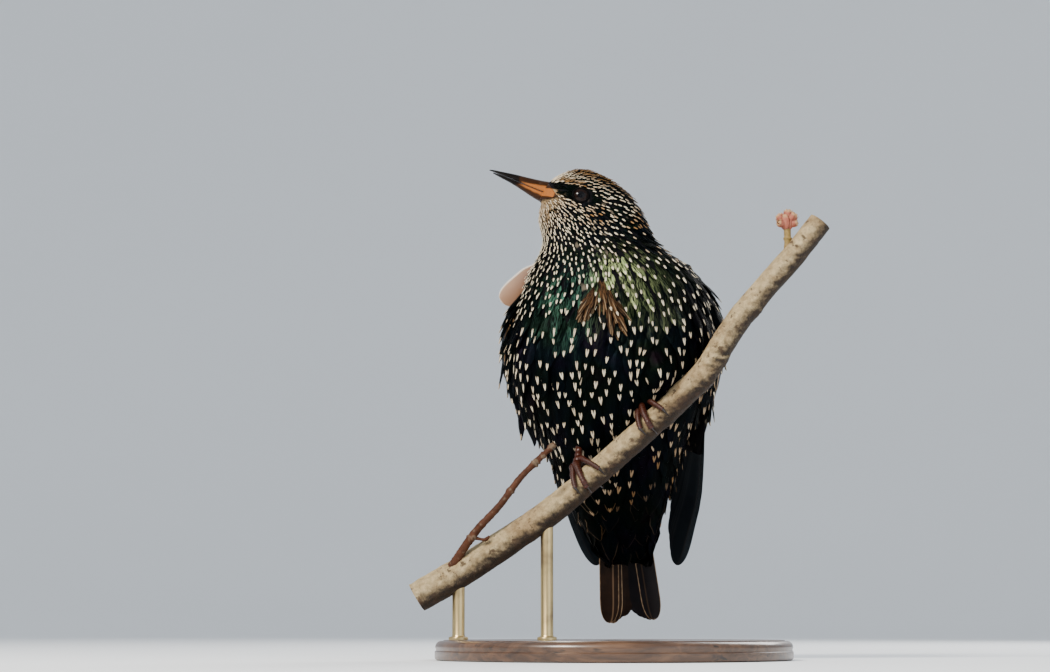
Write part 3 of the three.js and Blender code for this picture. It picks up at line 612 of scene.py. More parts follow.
def bark_material():
    """Young bark: cream with cracks and flecks, dark brown on its underside as painted shade, and darker in
    the dips of its relief, partly dark scars and partly painted shade.
    """
    n = Nodes("bark")
    along, height, angle = n.attribute("bark")
    fine = n.step(n.noise(420, 5, rough=0.65), 0.24, 0.76)
    broad = n.noise(48, 4)
    stretched = n.vector(n.mul(along, 0.0022), n.mul(angle, 0.011), 0.0)
    grain = n.noise(170, 4, stretched, 0.6)
    tight = n.noise(620, 3, stretched)
    cream = n.mix(fine, (0.42, 0.285, 0.135), (0.82, 0.65, 0.37))
    cream = n.mix(n.step(broad, 0.50, 0.66), cream, n.mix(fine, (0.28, 0.175, 0.08), (0.62, 0.445, 0.235)))
    cream = n.mix(n.mul(n.step(grain, 0.55, 0.68), 0.7), cream, (0.22, 0.13, 0.07))
    # painted shade: the underside of the branch takes this dark brown where it faces down
    below = n.mix(fine, (0.008, 0.005, 0.003), (0.060, 0.034, 0.018))
    shade_from_facing = n.split(n.new("NewGeometry").outputs["Normal"])[2]
    under = n.add(shade_from_facing, n.mad(n.noise(520, 5, rough=0.7), 0.9, -0.45))
    base = n.mix(n.step(under, -0.50, 0.28), below, cream)
    base = n.mix(n.mul(n.step(tight, 0.55, 0.68), 0.5), base, (0.22, 0.13, 0.065))
    flecks = n.step(n.noise(330, 4, rough=0.6), 0.59, 0.65)
    base = n.mix(n.mul(flecks, 0.8), base, (0.075, 0.040, 0.022))
    # the dips of the relief are darkened: partly dark knot scars, partly painted shade
    dip_shade_and_scars = n.step(height, -0.5, -0.12, 1.0, 0.0)
    base = n.mix(n.mul(dip_shade_and_scars, 0.85), base, (0.055, 0.028, 0.015))
    n.set(Base_Color=base, Roughness=n.mad(fine, 0.25, 0.55), Specular_IOR_Level=0.3)
    relief = n.add(n.mul(grain, -1.6), n.mul(tight, -0.8))
    return n.bump(n.add(relief, n.add(fine, n.mul(flecks, -0.8))), 0.8, 0.0006)


def cut_material():
    """Cut wood with growth rings and a darker rim; cut = distance from the pith as a share."""
    n = Nodes("cut_wood")
    share = n.attribute("cut")[0]
    wobble = n.mad(n.noise(260, 3), 0.08, -0.04)
    rings = n.sine(n.mul(n.add(share, wobble), 34.0))
    wood = n.mix(n.mad(rings, 0.5, 0.5), (0.46, 0.30, 0.15), (0.70, 0.52, 0.31))
    base = n.mix(n.step(share, 0.86, 0.93), wood, (0.20, 0.12, 0.07))
    base = n.mix(n.step(share, 0.05, 0.1, 1.0, 0.0), base, (0.28, 0.16, 0.09))
    n.set(Base_Color=base, Roughness=0.75)
    return n.bump(n.add(rings, n.noise(1200, 3)), 0.3, 0.0002)


def twig_material():
    n = Nodes("twig_bark")
    _, height, _ = n.attribute("bark")
    fine = n.noise(500, 4)
    red = n.mix(fine, (0.018, 0.006, 0.003), (0.105, 0.036, 0.015))
    knob = n.mix(fine, (0.040, 0.022, 0.013), (0.22, 0.15, 0.095))
    n.set(Base_Color=n.mix(n.step(height, 0.12, 0.4), red, knob), Roughness=0.6, Specular_IOR_Level=0.15)
    return n.bump(n.add(fine, n.noise(1500, 3)), 0.5, 0.0003)


def bud_material():
    n = Nodes("bud_scale")
    share = n.attribute("scale")[0]
    fine = n.noise(700, 3)
    body = n.mix(fine, (0.24, 0.05, 0.035), (0.40, 0.15, 0.09))
    tip = n.mix(fine, (0.30, 0.13, 0.055), (0.62, 0.42, 0.22))
    stem = n.mix(fine, (0.12, 0.075, 0.018), (0.34, 0.23, 0.075))
    scale = n.mix(n.step(share, 0.2, 0.75), body, tip)
    n.set(Base_Color=n.mix(n.step(share, -0.6, -0.4), stem, scale), Roughness=0.6)
    n.set(Specular_IOR_Level=0.25, Subsurface_Weight=0.1, Subsurface_Scale=0.001)
    return n.bump(fine, 0.4, 0.0002)


def wood_material():
    n = Nodes("base_wood")
    place = n.place()
    grain = n.noise(22, 6, n.scaled(place, (1.0, 9.0, 9.0)), 0.6, 1.4)
    pores = n.noise(420, 3, n.scaled(place, (0.12, 1, 1)))
    stops = (0.30, (0.030, 0.014, 0.007)), (0.50, (0.075, 0.036, 0.018)), (0.68, (0.13, 0.066, 0.033))
    tone = n.ramp(grain, *stops)
    n.set(Base_Color=n.mix(n.step(pores, 0.60, 0.72), tone, (0.018, 0.009, 0.005)))
    n.set(Roughness=n.mad(grain, 0.16, 0.26), Coat_Weight=0.35, Coat_Roughness=0.18)
    return n.bump(n.add(grain, n.mul(pores, -0.6)), 0.12, 0.0003)


def brass_material():
    n = Nodes("old_brass")
    brushed = n.noise(900, 3, n.scaled(n.place(), (1, 1, 0.04)))
    cloudy = n.noise(90, 4)
    tone = n.mix(n.step(cloudy, 0.42, 0.68), (0.62, 0.46, 0.22), (0.30, 0.21, 0.11))
    n.set(Base_Color=tone, Metallic=1.0, Roughness=n.mad(brushed, 0.22, 0.22))
    return n.bump(brushed, 0.15, 0.0001)


def stage_material():
    n = Nodes("studio_sweep")
    n.set(Base_Color=n.mix(n.noise(2.2, 2), (0.84, 0.86, 0.88), (0.88, 0.90, 0.92)), Roughness=0.85)
    return n.material


PLUMAGE = plumage_material()
FLIGHT = flight_material()


def set_uv(piece, uv):
    """The OFBake map from one place per point."""
    layer = piece.data.uv_layers.new(name="OFBake")
    corners = np.empty(len(piece.data.loops), np.int32)
    piece.data.loops.foreach_get("vertex_index", corners)
    layer.data.foreach_set("uv", uv[corners].astype(np.float32).ravel())


# Folded wings: a curved sheet in (across, along, height), as in the solids
WINGS = {
    "left": {
        "line": [
            (31.2, -3.7, 155), (36.3, 4.5, 142), (38, 10.5, 129), (37, 16, 117), (34.6, 19.4, 106),
            (33.4, 22, 96), (32.4, 26, 82), (31, 31, 68), (28.9, 35, 57.8), (27.2, 39, 47.5), (26.2, 42, 39),
        ],
        "top": (-0.53, 0.85, 0),
        "tip": (-0.85, 0.5, 0),
        "out": 1,
    },
    "right": {
        "line": [
            (-32.8, -0.3, 149.5), (-35.6, 4.8, 142), (-37, 11, 129), (-36, 16.8, 117), (-31.8, 22.4, 105),
            (-26, 27, 95), (-19.6, 32.2, 83), (-14.8, 36.4, 72), (-10.2, 40, 60), (-6.5, 42.8, 50),
            (-2, 45.8, 38),
        ],
        "top": (0.53, 0.85, 0),
        "tip": (0.9, 0.42, 0),
        "out": -1,
    },
}
WING_LENGTH = 126
WING_BOW = (40, 60)


def square_to(v, way):
    """The part of v square to a way, at length 1."""
    return unit(v - way * (v * way).sum(-1, keepdims=True))


class Wing:
    def __init__(self, line, top, tip, out):
        self.curve = Curve(line)
        self.top, self.tip, self.out = np.array(top, float), np.array(tip, float), out

    def sheet(self, a, l, h):
        a, l, h = (np.asarray(v, float) for v in np.broadcast_arrays(a, l, h))
        inside = np.clip(l, 0, self.curve.length)
        way = self.curve.way(inside)
        middle = self.curve.point(inside) + way * (l - inside)[..., None]
        turn = smooth(l, 60, WING_LENGTH)[..., None]
        chord = mix(self.top, self.tip, turn)
        chord = square_to(chord, way)
        normal = unit(np.cross(chord, way))
        normal *= np.where(normal[..., :1] * self.out < 0, -1, 1)
        radius = mix(*WING_BOW, turn[..., 0])
        rise = (radius + h) * np.cos(a / radius) - radius
        return middle + normal * rise[..., None] + chord * ((radius + h) * np.sin(a / radius))[..., None]

    def surface(self, a, l, h):
        """The sheet over the fleshy part of the wing."""
        return self.sheet(a, l, h + wing_top(a, l) * (1 - smooth(l, 58, 88)))

    def skin_at(self, spots):
        a, l = spots.T
        return nearest(self.sheet(a, l, wing_top(a, l) - FLESH_SUNK))


def half_chord(l):
    return mix(7, 17.5, smooth(l, -8, 18)) * mix(1, 0.5, smooth(l, 50, 78))


def wing_top(a, l):
    edge = mix(-2.6, 0.5, smooth(l, 38, 62))
    crest = mix(1.6, 3.4, smooth(l, -8, 10)) * mix(1, 0.35, smooth(l, 30, 76))
    t = np.clip(a / half_chord(l), -1, 1)
    return edge + (crest - edge) * (1 - t * t) ** 0.7


FLESH_SUNK = 0.5


def wing_flesh(wing):
    """Rings of the fleshy part of a wing, sunk a little below its coat."""
    l = np.linspace(-6, 76, 37)[:, None]
    t = np.linspace(-1, 1, 19)[None, :]
    a = t * half_chord(l)
    height = wing_top(a, l) - FLESH_SUNK
    under = mix(7, 0.8, smooth(l, 42, 70)) * (1 - t * t) ** 0.5
    return np.concatenate([wing.sheet(a, l, height), wing.sheet(a, l, height - 0.7 - under)[:, ::-1]], 1)


# Skin: the body from crown to tail coverts, drawn in by the depth of the coat
SKIN_ROWS, SKIN_SIDES = 200, 120
COAT_DEPTH = (0.45, 1.3)  # head, body


def skin_points(u, angle):
    depth = mix(COAT_DEPTH[0], COAT_DEPTH[1], smooth(u, 4, 9)) * mix(1, 0.45, smooth(u, 18.5, 20))
    points = body_point(u, angle, -depth)
    for end, reach, share in ((THIGH_ENDS["left"], 10.5, 0.8), (THIGH_ENDS["right"], 10.0, 0.85)):
        foot = points.reshape(-1, 3)[size_of(points - np.array(end)).argmin()]
        bulge = 1 - smooth(size_of(points - foot), 1.5, reach)
        points = points + (np.array(end) - foot) * (bulge * share)[..., None]
    return points


SKIN_UV = (0.80, 0.98)  # share of the unwrap that the body takes; the wings take the rest
grid_u, grid_angle = np.meshgrid(np.linspace(0, LAST, SKIN_ROWS + 1), circle(SKIN_SIDES), indexing="ij")
grid = skin_points(grid_u, grid_angle)
grid_uv = together(grid_angle / (2 * math.pi), grid_u / LAST * SKIN_UV[0])


def flow_of(points, down):
    """The lie of the feathers: away from the bill on the head, then down the body."""
    share = smooth(points[..., 2], 148, 172)[..., None]
    return unit(mix(unit(down), unit(points - BILL_ROOT), share))


def coat_surface():
    """All that small feathers grow on: four corners of each cell, the lie and the place on the unwrap."""
    corners, ways, places = [], [], []
    sheets = [(grid, flow_of(grid, np.gradient(grid, axis=0)), grid_uv, True)]
    for index, wing in enumerate(WING.values()):
        rings = wing_flesh(wing)
        half = rings.shape[1] // 2
        top = rings[:, :half]
        u = np.linspace(0.02, 0.46, half) + 0.5 * index
        v = np.linspace(SKIN_UV[0] + 0.02, SKIN_UV[1], len(top))
        sheets.append((top, unit(np.gradient(top, axis=0)), together(u, v[:, None]), False))
    for points, way, place, closed in sheets:
        rows, columns = points.shape[:2]
        span = columns if closed else columns - 1
        i, j = np.meshgrid(np.arange(rows - 1), np.arange(span), indexing="ij")
        k = (j + 1) % columns
        quads = np.stack([points[i, j], points[i, k], points[i + 1, k], points[i + 1, j]], 2)
        corners.append(quads.reshape(-1, 4, 3))
        ways.append(way[i, j].reshape(-1, 3))
        places.append(place[i, j].reshape(-1, 2))
    return np.concatenate(corners), np.concatenate(ways), np.concatenate(places)


WING = {name: Wing(**spec) for name, spec in WINGS.items()}
cell_corners, cell_way, cell_uv = coat_surface()
cell_centre = cell_corners.mean(1)
cell_cross = np.cross(cell_corners[:, 2] - cell_corners[:, 0], cell_corners[:, 3] - cell_corners[:, 1])
cell_normal = unit(cell_cross)
body_cells = SKIN_ROWS * SKIN_SIDES
body_axis = along_table(STATIONS, grid_u[:-1].ravel())[:, :3]
inward = ((cell_centre[:body_cells] - body_axis) * cell_normal[:body_cells]).sum(-1) < 0
cell_normal[:body_cells][inward] *= -1
for wing, normals in zip(WING.values(), cell_normal[body_cells:].reshape(2, -1, 3)):
    normals[normals[:, 0] * wing.out < 0] *= -1
cell_faces = np.arange(len(cell_corners) * 4).reshape(-1, 4)
TREE = BVHTree.FromPolygons(cell_corners.reshape(-1, 3).tolist(), cell_faces.tolist())


def nearest(points):
    """Place on the coat's surface, its cell, for each point."""
    places, cells = np.empty((len(points), 3)), np.empty(len(points), int)
    for i, p in enumerate(points):
        hit, _, cell, _ = TREE.find_nearest(Vector(p))
        places[i], cells[i] = hit, cell
    return places, cells


BRANCH_CURVE = Curve([row[:3] for row in BRANCH])
BRANCH_STEPS = np.linspace(0, BRANCH_CURVE.length, 90)
BRANCH_LINE = BRANCH_CURVE.point(BRANCH_STEPS)
row_at = [BRANCH_CURVE.at[size_of(BRANCH_CURVE.points - np.array(row[:3])).argmin()] for row in BRANCH]
BRANCH_RADII = np.interp(BRANCH_STEPS, row_at, [row[3] for row in BRANCH])


def clear_of_branch(points, room):
    """Points pushed out of the branch."""
    flat = points.reshape(-1, 3)
    near = flat[:, 2] < 135
    close = flat[near]
    away = close[:, None] - BRANCH_LINE[None]
    index = size_of(away).argmin(1)
    away = away[np.arange(len(close)), index]
    need = np.maximum(BRANCH_RADII[index] + room - size_of(away), 0)
    flat[near] = close + away / np.maximum(size_of(away), 1e-6)[:, None] * need[:, None]
    return flat.reshape(points.shape)


# Contour feathers
def lens_template(rings, columns):
    """Faces of one thin closed feather: a point at each end, rings of 2 * columns points between."""
    sides = 2 * columns
    faces = []
    for j in range(sides):
        k = (j + 1) % sides
        faces.append((0, 1 + k, 1 + j))
        for i in range(rings - 1):
            a, b = 1 + i * sides, 1 + (i + 1) * sides
            faces.append((a + j, a + k, b + k))
            faces.append((a + j, b + k, b + j))
        a = 1 + (rings - 1) * sides
        faces.append((1 + rings * sides, a + j, a + k))
    return np.array(faces)


STEPS = 4  # from the root of a feather to its tip, along the coat
ROOT_SUNK = 0.25
WIDEST = 0.55  # share of the length
CAMBER = 0.16
SHAFT_RISE = 0.10
PATCH = 0.0015  # half width of one feather on the unwrap


def grow(name, roots, cells, length, width, rise, mark, tone, point=0.5, rings=6, columns=4, yaw=0.10,
         roll=0.12, thick=0.16, curl=0.0, turn=0.0, edging=0.0):
    """One coat piece of feathers. roots and cells say where each grows; other values are one per feather."""
    count = len(roots)
    length = length * RNG.uniform(0.92, 1.08, count)
    width = width * RNG.uniform(0.94, 1.06, count)
    rise = rise * RNG.lognormal(0, 0.32, count)
    yaw = (RNG.normal(0, yaw, count) + turn)[:, None]
    roll = RNG.normal(0, roll, count)[:, None]
    centre, normal, way = np.empty((3, STEPS + 1, count, 3))
    place, cell, heading = roots, cells, None
    for i in range(STEPS + 1):
        n = cell_normal[cell]
        flow = square_to(cell_way[cell], n)
        turned = flow * np.cos(yaw) + np.cross(n, flow) * np.sin(yaw)
        heading = turned if heading is None else unit(mix(heading, turned, 0.35))
        heading = square_to(heading, n)
        centre[i], normal[i], way[i] = place, n, heading
        if i < STEPS:
            place, cell = nearest(place + heading * (length / STEPS)[:, None])
    s = np.concatenate([[0], np.sin(np.linspace(0.16, 0.97, rings) * math.pi / 2), [1]])
    low = np.minimum((s * STEPS).astype(int), STEPS - 1)
    share = (s * STEPS - low)[:, None, None]
    up = unit(mix(normal[low], normal[low + 1], share))
    out = np.cross(up, unit(mix(way[low], way[low + 1], share)))
    out, up = out * np.cos(roll) + up * np.sin(roll), up * np.cos(roll) - out * np.sin(roll)
    lift = -ROOT_SUNK + (rise + ROOT_SUNK) * s[:, None] ** 0.85 + curl * s[:, None] ** 3 * rise
    spine = mix(centre[low], centre[low + 1], share) + up * lift[..., None]
    to_tip = ((s - WIDEST) / (1 - WIDEST)).clip(0, 1) ** (1.2 + 1.3 * (1 - point))
    shape = mix(0.35, 1, smooth(s, 0, WIDEST)) * np.sqrt(np.maximum(1 - to_tip, 0))
    shape *= mix(1, 1 - 0.35 * point, smooth(s, WIDEST, 1))
    half = (width / 2 * shape[:, None] * RNG.uniform(0.88, 1.06, (len(s), count)))[1:-1, :, None]
    t, side = strip(columns)
    off = t * half
    top = side * (1 - t**2)
    height = -CAMBER * t**2 * half + top * thick / 2 + (top > 0) * SHAFT_RISE * bell(t, 0, 0.18)
    spread = out[1:-1, :, None] * off[..., None]
    ring = spine[1:-1, :, None] + spread + up[1:-1, :, None] * height[..., None]

    def each_with_ends(values, first, last):
        """One row per feather: its first point, those of its rings, its last point."""
        values = np.swapaxes(values, 0, 1)
        return np.concatenate([first, values.reshape(count, -1, *values.shape[3:]), last], 1)

    points = clear_of_branch(each_with_ends(ring, spine[0][:, None], spine[-1][:, None]), 0.35)
    none = np.zeros((count, 1))
    ring_s = np.concatenate([[0], np.repeat(s[1:-1], 2 * columns), [1]])
    feather = together(each_with_ends(off, none, none), (1 - ring_s) * length[:, None], ring_s)
    inside = each_with_ends(half * (1 - np.abs(t)), none, none)
    edging = np.broadcast_to(edging, count)[:, None]
    each = points.shape[1]
    faces = (lens_template(rings, columns) + np.arange(count)[:, None, None] * each).reshape(-1, 3)
    mark, tone = np.repeat(mark, each, 0), np.repeat(tone, each, 0)
    rim = together(inside, edging, edging)
    piece = new_mesh(name, points.reshape(-1, 3), faces, "plumage", PLUMAGE, sharp=75, feather=feather,
                     mark=mark, tone=tone, rim=rim)
    patch = together(np.concatenate([[0], np.tile(t, rings), [0]]), ring_s * 2 - 1) * PATCH
    set_uv(piece, (cell_uv[cells][:, None] + patch).reshape(-1, 2))


TRIES = 60000


def scatter(spacing, allowed, seed):
    """Random places in the allowed cells of the coat, no nearer to each other than spacing(place)."""
    rng = np.random.default_rng(seed)
    weight = size_of(cell_cross) * allowed / spacing(cell_centre) ** 2
    cell = rng.choice(len(weight), TRIES, p=weight / weight.sum())
    a, b = rng.random((2, TRIES, 1))
    quad = cell_corners[cell]
    place = mix(mix(quad[:, 0], quad[:, 1], a), mix(quad[:, 3], quad[:, 2], a), b)
    room = spacing(place)
    kept, chosen, count = np.empty((TRIES, 3)), np.empty(TRIES, int), 0
    for i in range(TRIES):
        near = chosen[:count][np.abs(kept[:count] - place[i]).max(1) < room[i]]
        least = np.minimum(room[i], room[near])
        if (((place[near] - place[i]) ** 2).sum(1) < least**2).any():
            continue
        kept[count], chosen[count] = place[i], i
        count += 1
    return place[chosen[:count]], cell[chosen[:count]]


def head_place(p):
    """Along the bill, up and out to the left, from the head's centre."""
    rel = p - HEAD_CENTRE
    up = rel @ np.array([math.sin(BILL_TILT), 0, math.cos(BILL_TILT)])
    return rel @ BILL_WAY, up, -rel[..., 1] + 0.1 * up


EYE_ALONG, EYE_UP, EYE_OUT, EYE_RADIUS, EYE_OPENING = 3.6, -1.8, 9.0, 4.2, 2.9
FACE_END = 17.8


def under_wing(p):
    """True where a place lies under a folded wing."""
    hidden = np.zeros(len(p), bool)
    for wing in WING.values():
        l = np.linspace(6, 74, 30)[:, None]
        t = np.linspace(-0.78, 0.78, 13)[None, :]
        cover = wing.surface(t * half_chord(l), np.broadcast_to(l, (30, 13)), 0).reshape(-1, 3)
        hidden |= size_of(p[:, None] - cover).min(1) < 5.0
    return hidden


SKIN = skin_material()
HIDDEN = ("head", "neck", "torso", "thigh_left", "thigh_right")


def skin():
    points, faces = loft(grid)
    along, up, _ = head_place(points)
    face = smooth(along, 8, 14) * (np.abs(up + 0.4) > 2.4)
    piece = new_mesh("skin", points, faces, "plumage", SKIN, HIDDEN, face=face)
    set_uv(piece, np.concatenate([grid_uv.reshape(-1, 2), [[0.5, 0.0], [0.5, SKIN_UV[0]]]]))


def from_bill(p):
    return size_of(p - BILL_ROOT)


def head_spacing(p):
    return np.interp(from_bill(p), [0, 8, 16, 26, 36, 48, 62], [0.78, 0.84, 0.96, 1.35, 1.85, 2.35, 3.1])


def painted_sheen_of(p):
    """How strongly the painted sheen highlight shows on the throat and upper breast, in three patches."""
    front = smooth(-p[:, 1], 8, 24)
    straw_sheen_paint = 1.3 * bell(p[:, 0], 1, 9) * bell(p[:, 2], 154, 7)
    teal_sheen_paint = 0.7 * bell(p[:, 0], -19, 9) * bell(p[:, 2], 143, 8)
    right = 0.25 * bell(p[:, 0], 15, 8) * bell(p[:, 2], 146, 7)
    return np.clip((straw_sheen_paint + teal_sheen_paint + right) * front * RNG.uniform(0.05, 1.15, len(p)), 0, 0.95)


def eye_band(along, up, left):
    """The black band from the bill through the eye."""
    top = np.interp(along, [-1.5, 0.9, 7.6, 16.8], [-0.6, 0.9, 0.9, -0.6])
    low = np.interp(along, [-1.5, 0.4, 4.1, 8.3, 13.0, 17.5], [-1.2, -3.6, -5.4, -4.7, -4.1, -3.4])
    return (along > -1.5) & (along < 17.3) & (up < top) & (up > low) & (np.abs(left) > 2.5)


def gape_at(along, up, left):
    """The bare corner of the mouth on each side."""
    middle = mix(-5.4, -4.4, smooth(along, 13, 18))
    reach = mix(0.2, 3.6, np.clip((along - 12.6) / 5, 0, 1))
    return (along > 12.6) & (np.abs(up - middle) < reach) & (np.abs(left) > 2.0)


def coat_border(p):
    """Height of the uneven line where the feathers of the neck give way to those of the body."""
    return 141 + 3.5 * waves(p, 22, 31)


def head_coat():
    allowed = (np.arange(len(cell_centre)) < body_cells) & (cell_centre[:, 2] > 136)
    roots, cells = scatter(head_spacing, allowed, 3)
    along, up, left = head_place(roots)
    room = head_spacing(roots)
    length = room * 2.6 + 0.7 + 3.0 * smooth(room, 2.0, 3.0)
    to_eye = np.hypot(along - EYE_ALONG, up - EYE_UP)
    on_side = np.abs(left) > 6
    ahead = (along > EYE_ALONG) & (along < EYE_ALONG + 6) & (np.abs(up - EYE_UP) < 3.0) & on_side
    length = np.where(ahead, np.clip(to_eye - 2.6, 0.9, 3.2), length)
    keep = (to_eye > EYE_OPENING + 0.2) | ~on_side
    keep &= (along < FACE_END) & (roots[:, 2] > coat_border(roots)) & ~gape_at(along, up, left)
    band = eye_band(along, up, left)
    far = from_bill(roots)
    high = roots[:, 2] > 172
    brow = bell(up, np.interp(along, [0, 6, 12, 17], [3.0, 2.4, 1.6, 1.2]), 1.3) * smooth(along, -3, 9)
    cheek = bell(up, -np.interp(along, [-6, 2, 10], [7.6, 6.8, 6.2]), 1.9) * smooth(along, -9, 3)
    chin = (1 - smooth(far, 5, 17)) * (up < -3)
    brush = np.max([brow, cheek * 0.9, chin, (1 - smooth(far, 3, 9)) * 0.9], 0) * high
    brush = np.clip(brush + RNG.normal(0, 0.10, len(roots)), 0, 1)
    crown = smooth(up, 3.5, 7.5)
    nape = smooth(-along, 10, 22) * (roots[:, 2] > 163)
    steps = [0, 12, 22, 34, 48, 62]
    spot_length = np.interp(far, steps, [1.4, 1.45, 1.6, 1.7, 2.0, 2.4]) * RNG.uniform(0.8, 1.2, len(roots))
    spot_half = np.interp(far, steps, [0.19, 0.16, 0.19, 0.31, 0.41, 0.50])
    spot_half = spot_half * mix(1, 0.8, np.maximum(crown, nape))
    tuft = bell(along, 17, 1.8) * (up > -1) * high
    spot_length = mix(mix(spot_length, 1.9, brush), 2.6, tuft)
    spot_half = mix(mix(spot_half, 0.22, brush), 0.5, tuft)
    bare = RNG.random(len(roots)) < mix(0.06, 0.50, nape) * (1 - brush)
    spot_length = np.where(bare | band, 0, spot_length)
    kind = np.interp(roots[:, 2], [140, 156, 166], [0.9, 0.45, 0.0])
    ears = bell(along, -3, 6) * bell(up, -7, 5) * on_side
    warm = np.max([crown * 0.95, nape * 1.5, brush * 0.45, ears * 0.7, brow * high * 0.95], 0)
    spot_half = mix(spot_half, 0.14, np.maximum(crown, brow) * high * (1 - tuft))
    warm = np.clip(0.12 + warm + RNG.normal(0, 0.15, len(roots)), 0, 1.5) * (1 - 0.8 * tuft)
    mark = together(spot_length, spot_half, kind)
    tone = together(np.where(high, warm, warm * 0.4), painted_sheen_of(roots), 0)
    width = room * np.interp(far, [0, 20, 40, 60], [1.2, 1.15, 1.1, 1.3])
    rise = np.interp(far, [0, 10, 25, 45, 60], [0.30, 0.38, 0.65, 1.15, 1.4])
    values = (roots, cells, length, width, rise, mark, tone)
    for name, near, fine in (("coat_face", far < 30, (4, 2, 0.10)), ("coat_neck", far >= 30, (6, 4, 0.13))):
        rings, columns, thick = fine
        part = keep & near
        grow(name, *(v[part] for v in values), point=0.8, rings=rings, columns=columns, thick=thick)


def skin_like(u, angle):
    return body_point(u, angle, -COAT_DEPTH[1])


def run_of(points):
    """Length of a line of points from its start to each of them."""
    return np.concatenate([[0], np.cumsum(size_of(np.diff(points, axis=0)))])


LEGS = np.array([[14.6, -26, 103], [-10.5, -18, 74]])


def rows_on_body(z_top, z_bottom, row_step, column_step):
    """Staggered rows of roots round the body, counted from the middle of the breast."""
    u = np.linspace(6, LAST - 0.02, 3000)
    front = skin_like(u, -math.pi / 2)
    run = run_of(front)
    first, last = np.interp([-z_top, -z_bottom], -front[:, 2], run)
    places, row, at = [], 0, first
    fine = np.linspace(-math.pi / 2, 1.5 * math.pi, 1441)
    while at < last:
        here = float(np.interp(at, run, u))
        length = run_of(skin_like(here, fine))
        count = max(int(round(length[-1] / column_step(here))), 6)
        stagger = (np.arange(count) + 0.5 * (row % 2) + RNG.uniform(-0.12, 0.12, count)) / count
        angle = np.interp((stagger % 1) * length[-1], length, fine)
        places.append(skin_like(np.clip(here + RNG.normal(0, 0.02, count), 0, LAST), angle))
        at += row_step(here)
        row += 1
    return nearest(np.concatenate(places))


def spacing_along(*values):
    """Spacing of the rows or columns at a station, from its values at three heights."""
    return lambda u: np.interp(np.interp(u, np.arange(LAST + 1), STATIONS[:, 2]), [60, 90, 140], values)


def body_coat():
    roots, cells = rows_on_body(147, 46, spacing_along(5.2, 4.5, 3.7), spacing_along(5.2, 5.1, 4.7))
    z = roots[:, 2]
    normal = cell_normal[cells]
    front = smooth(-normal[:, 1], -0.25, 0.25)
    keep = (cells < body_cells) & ~under_wing(roots) & (z < coat_border(roots))
    for leg in LEGS:
        keep &= size_of(roots - leg) > 3.5
    length = np.interp(z, [50, 75, 110, 140], [17, 17, 16, 12.5]) * mix(1.05, 1.0, front)
    length *= 1 + 0.45 * bell(roots[:, 0], 7, 4.5) * (1 - smooth(z, 52, 62))
    width = np.interp(z, [50, 80, 140], [8.8, 7.8, 6.2]) * mix(1.25, 1.0, front)
    flank = smooth(np.abs(normal[:, 0]), 0.35, 0.85) * smooth(z, 78, 95)
    rise = np.interp(z, [60, 90, 120, 144], [1.2, 1.7, 1.9, 1.5]) * mix(1, 1.35, flank)
    tail = 1 - smooth(z, 66, 84)
    spot_length = np.interp(z, [80, 115, 144], [3.0, 3.0, 2.7]) * mix(0.75, 1, front)
    spot_length *= RNG.uniform(0.75, 1.2, len(z))
    spot_half = np.interp(z, [80, 115, 144], [0.70, 0.64, 0.48]) * RNG.uniform(0.8, 1.2, len(z))
    # the middle of the belly, low down, and some feathers everywhere have no spot
    middle = bell(roots[:, 0], 12, 9) * bell(z, 96, 14) * front
    bare = RNG.random(len(z)) < np.maximum(mix(0.10, 0.5, middle), tail * front)
    spot_length = np.where(bare, 0, spot_length)
    shade = RNG.uniform(0, 0.35, len(z))
    # near the branch the pale marks turn buff, and under it dark: painted shade
    over_branch = z - np.interp(roots[:, 0], [row[0] for row in BRANCH], [row[2] for row in BRANCH])
    shade_under_branch = (1 - smooth(over_branch, -14, -1)) * front * (1 - smooth(roots[:, 0], 22, 30))
    spot_length = np.where(RNG.random(len(z)) < 0.45 * shade_under_branch, 0, spot_length)
    belly = 1 - smooth(over_branch, 0, 40)
    warm = np.clip(mix(0.75, shade, front) + front * (0.5 * belly + 1.25 * shade_under_branch), 0, 1.8)
    kind = np.interp(z, [105, 144], [0.97, 0.85])
    mark = together(spot_length, spot_half, kind)
    tone = together(warm, painted_sheen_of(roots) * 0.8, 0)
    edging = tail * front * RNG.uniform(0.15, 0.55, len(z)) * (RNG.random(len(z)) > 0.45)
    values = (roots, cells, length, width, rise, mark, tone)
    ahead = normal[:, 1] < 0.1
    parts = {
        "coat_breast": (z >= 118) & ahead,
        "coat_belly": (z < 118) & (z >= 82) & ahead,
        "coat_vent": (z < 82) & ahead,
        "coat_back": ~ahead,
    }
    for name, part in parts.items():
        part = part & keep
        grow(name, *(v[part] for v in values), point=0.85, curl=0.15, edging=edging[part])


def ruffled_patch():
    """Brown feathers out of place on the breast, fanned in an upturned V with pale shafts."""
    rows = []
    for side in (-1, 1):
        for i in range(24):
            share = (i + RNG.uniform(-0.3, 0.3)) / 23
            x = mix(-6.2, -6.2 + (5.5 if side > 0 else -3.5), share) + RNG.normal(0, 0.7)
            z = mix(150.0, 136.5 if side > 0 else 142.5, share)
            turn = side * mix(0.16, 0.34, share) + RNG.normal(0, 0.12)
            rows.append((x, -40, z, turn, mix(15, 12, share)))
    rows = np.array(rows)
    roots, cells = nearest(rows[:, :3])
    count = len(rows)
    mark = together(np.where(RNG.random(count) < 0.15, 1.8, 0), 0.5, 0)
    tone = together(RNG.random(count), 0, RNG.uniform(0.7, 1, count))
    grow("coat_ruffled_patch", roots, cells, rows[:, 4], 2.9, 2.4, mark, tone, point=0.9, rings=10, columns=6,
         yaw=0.04, roll=0.3, curl=0.25, turn=rows[:, 3])


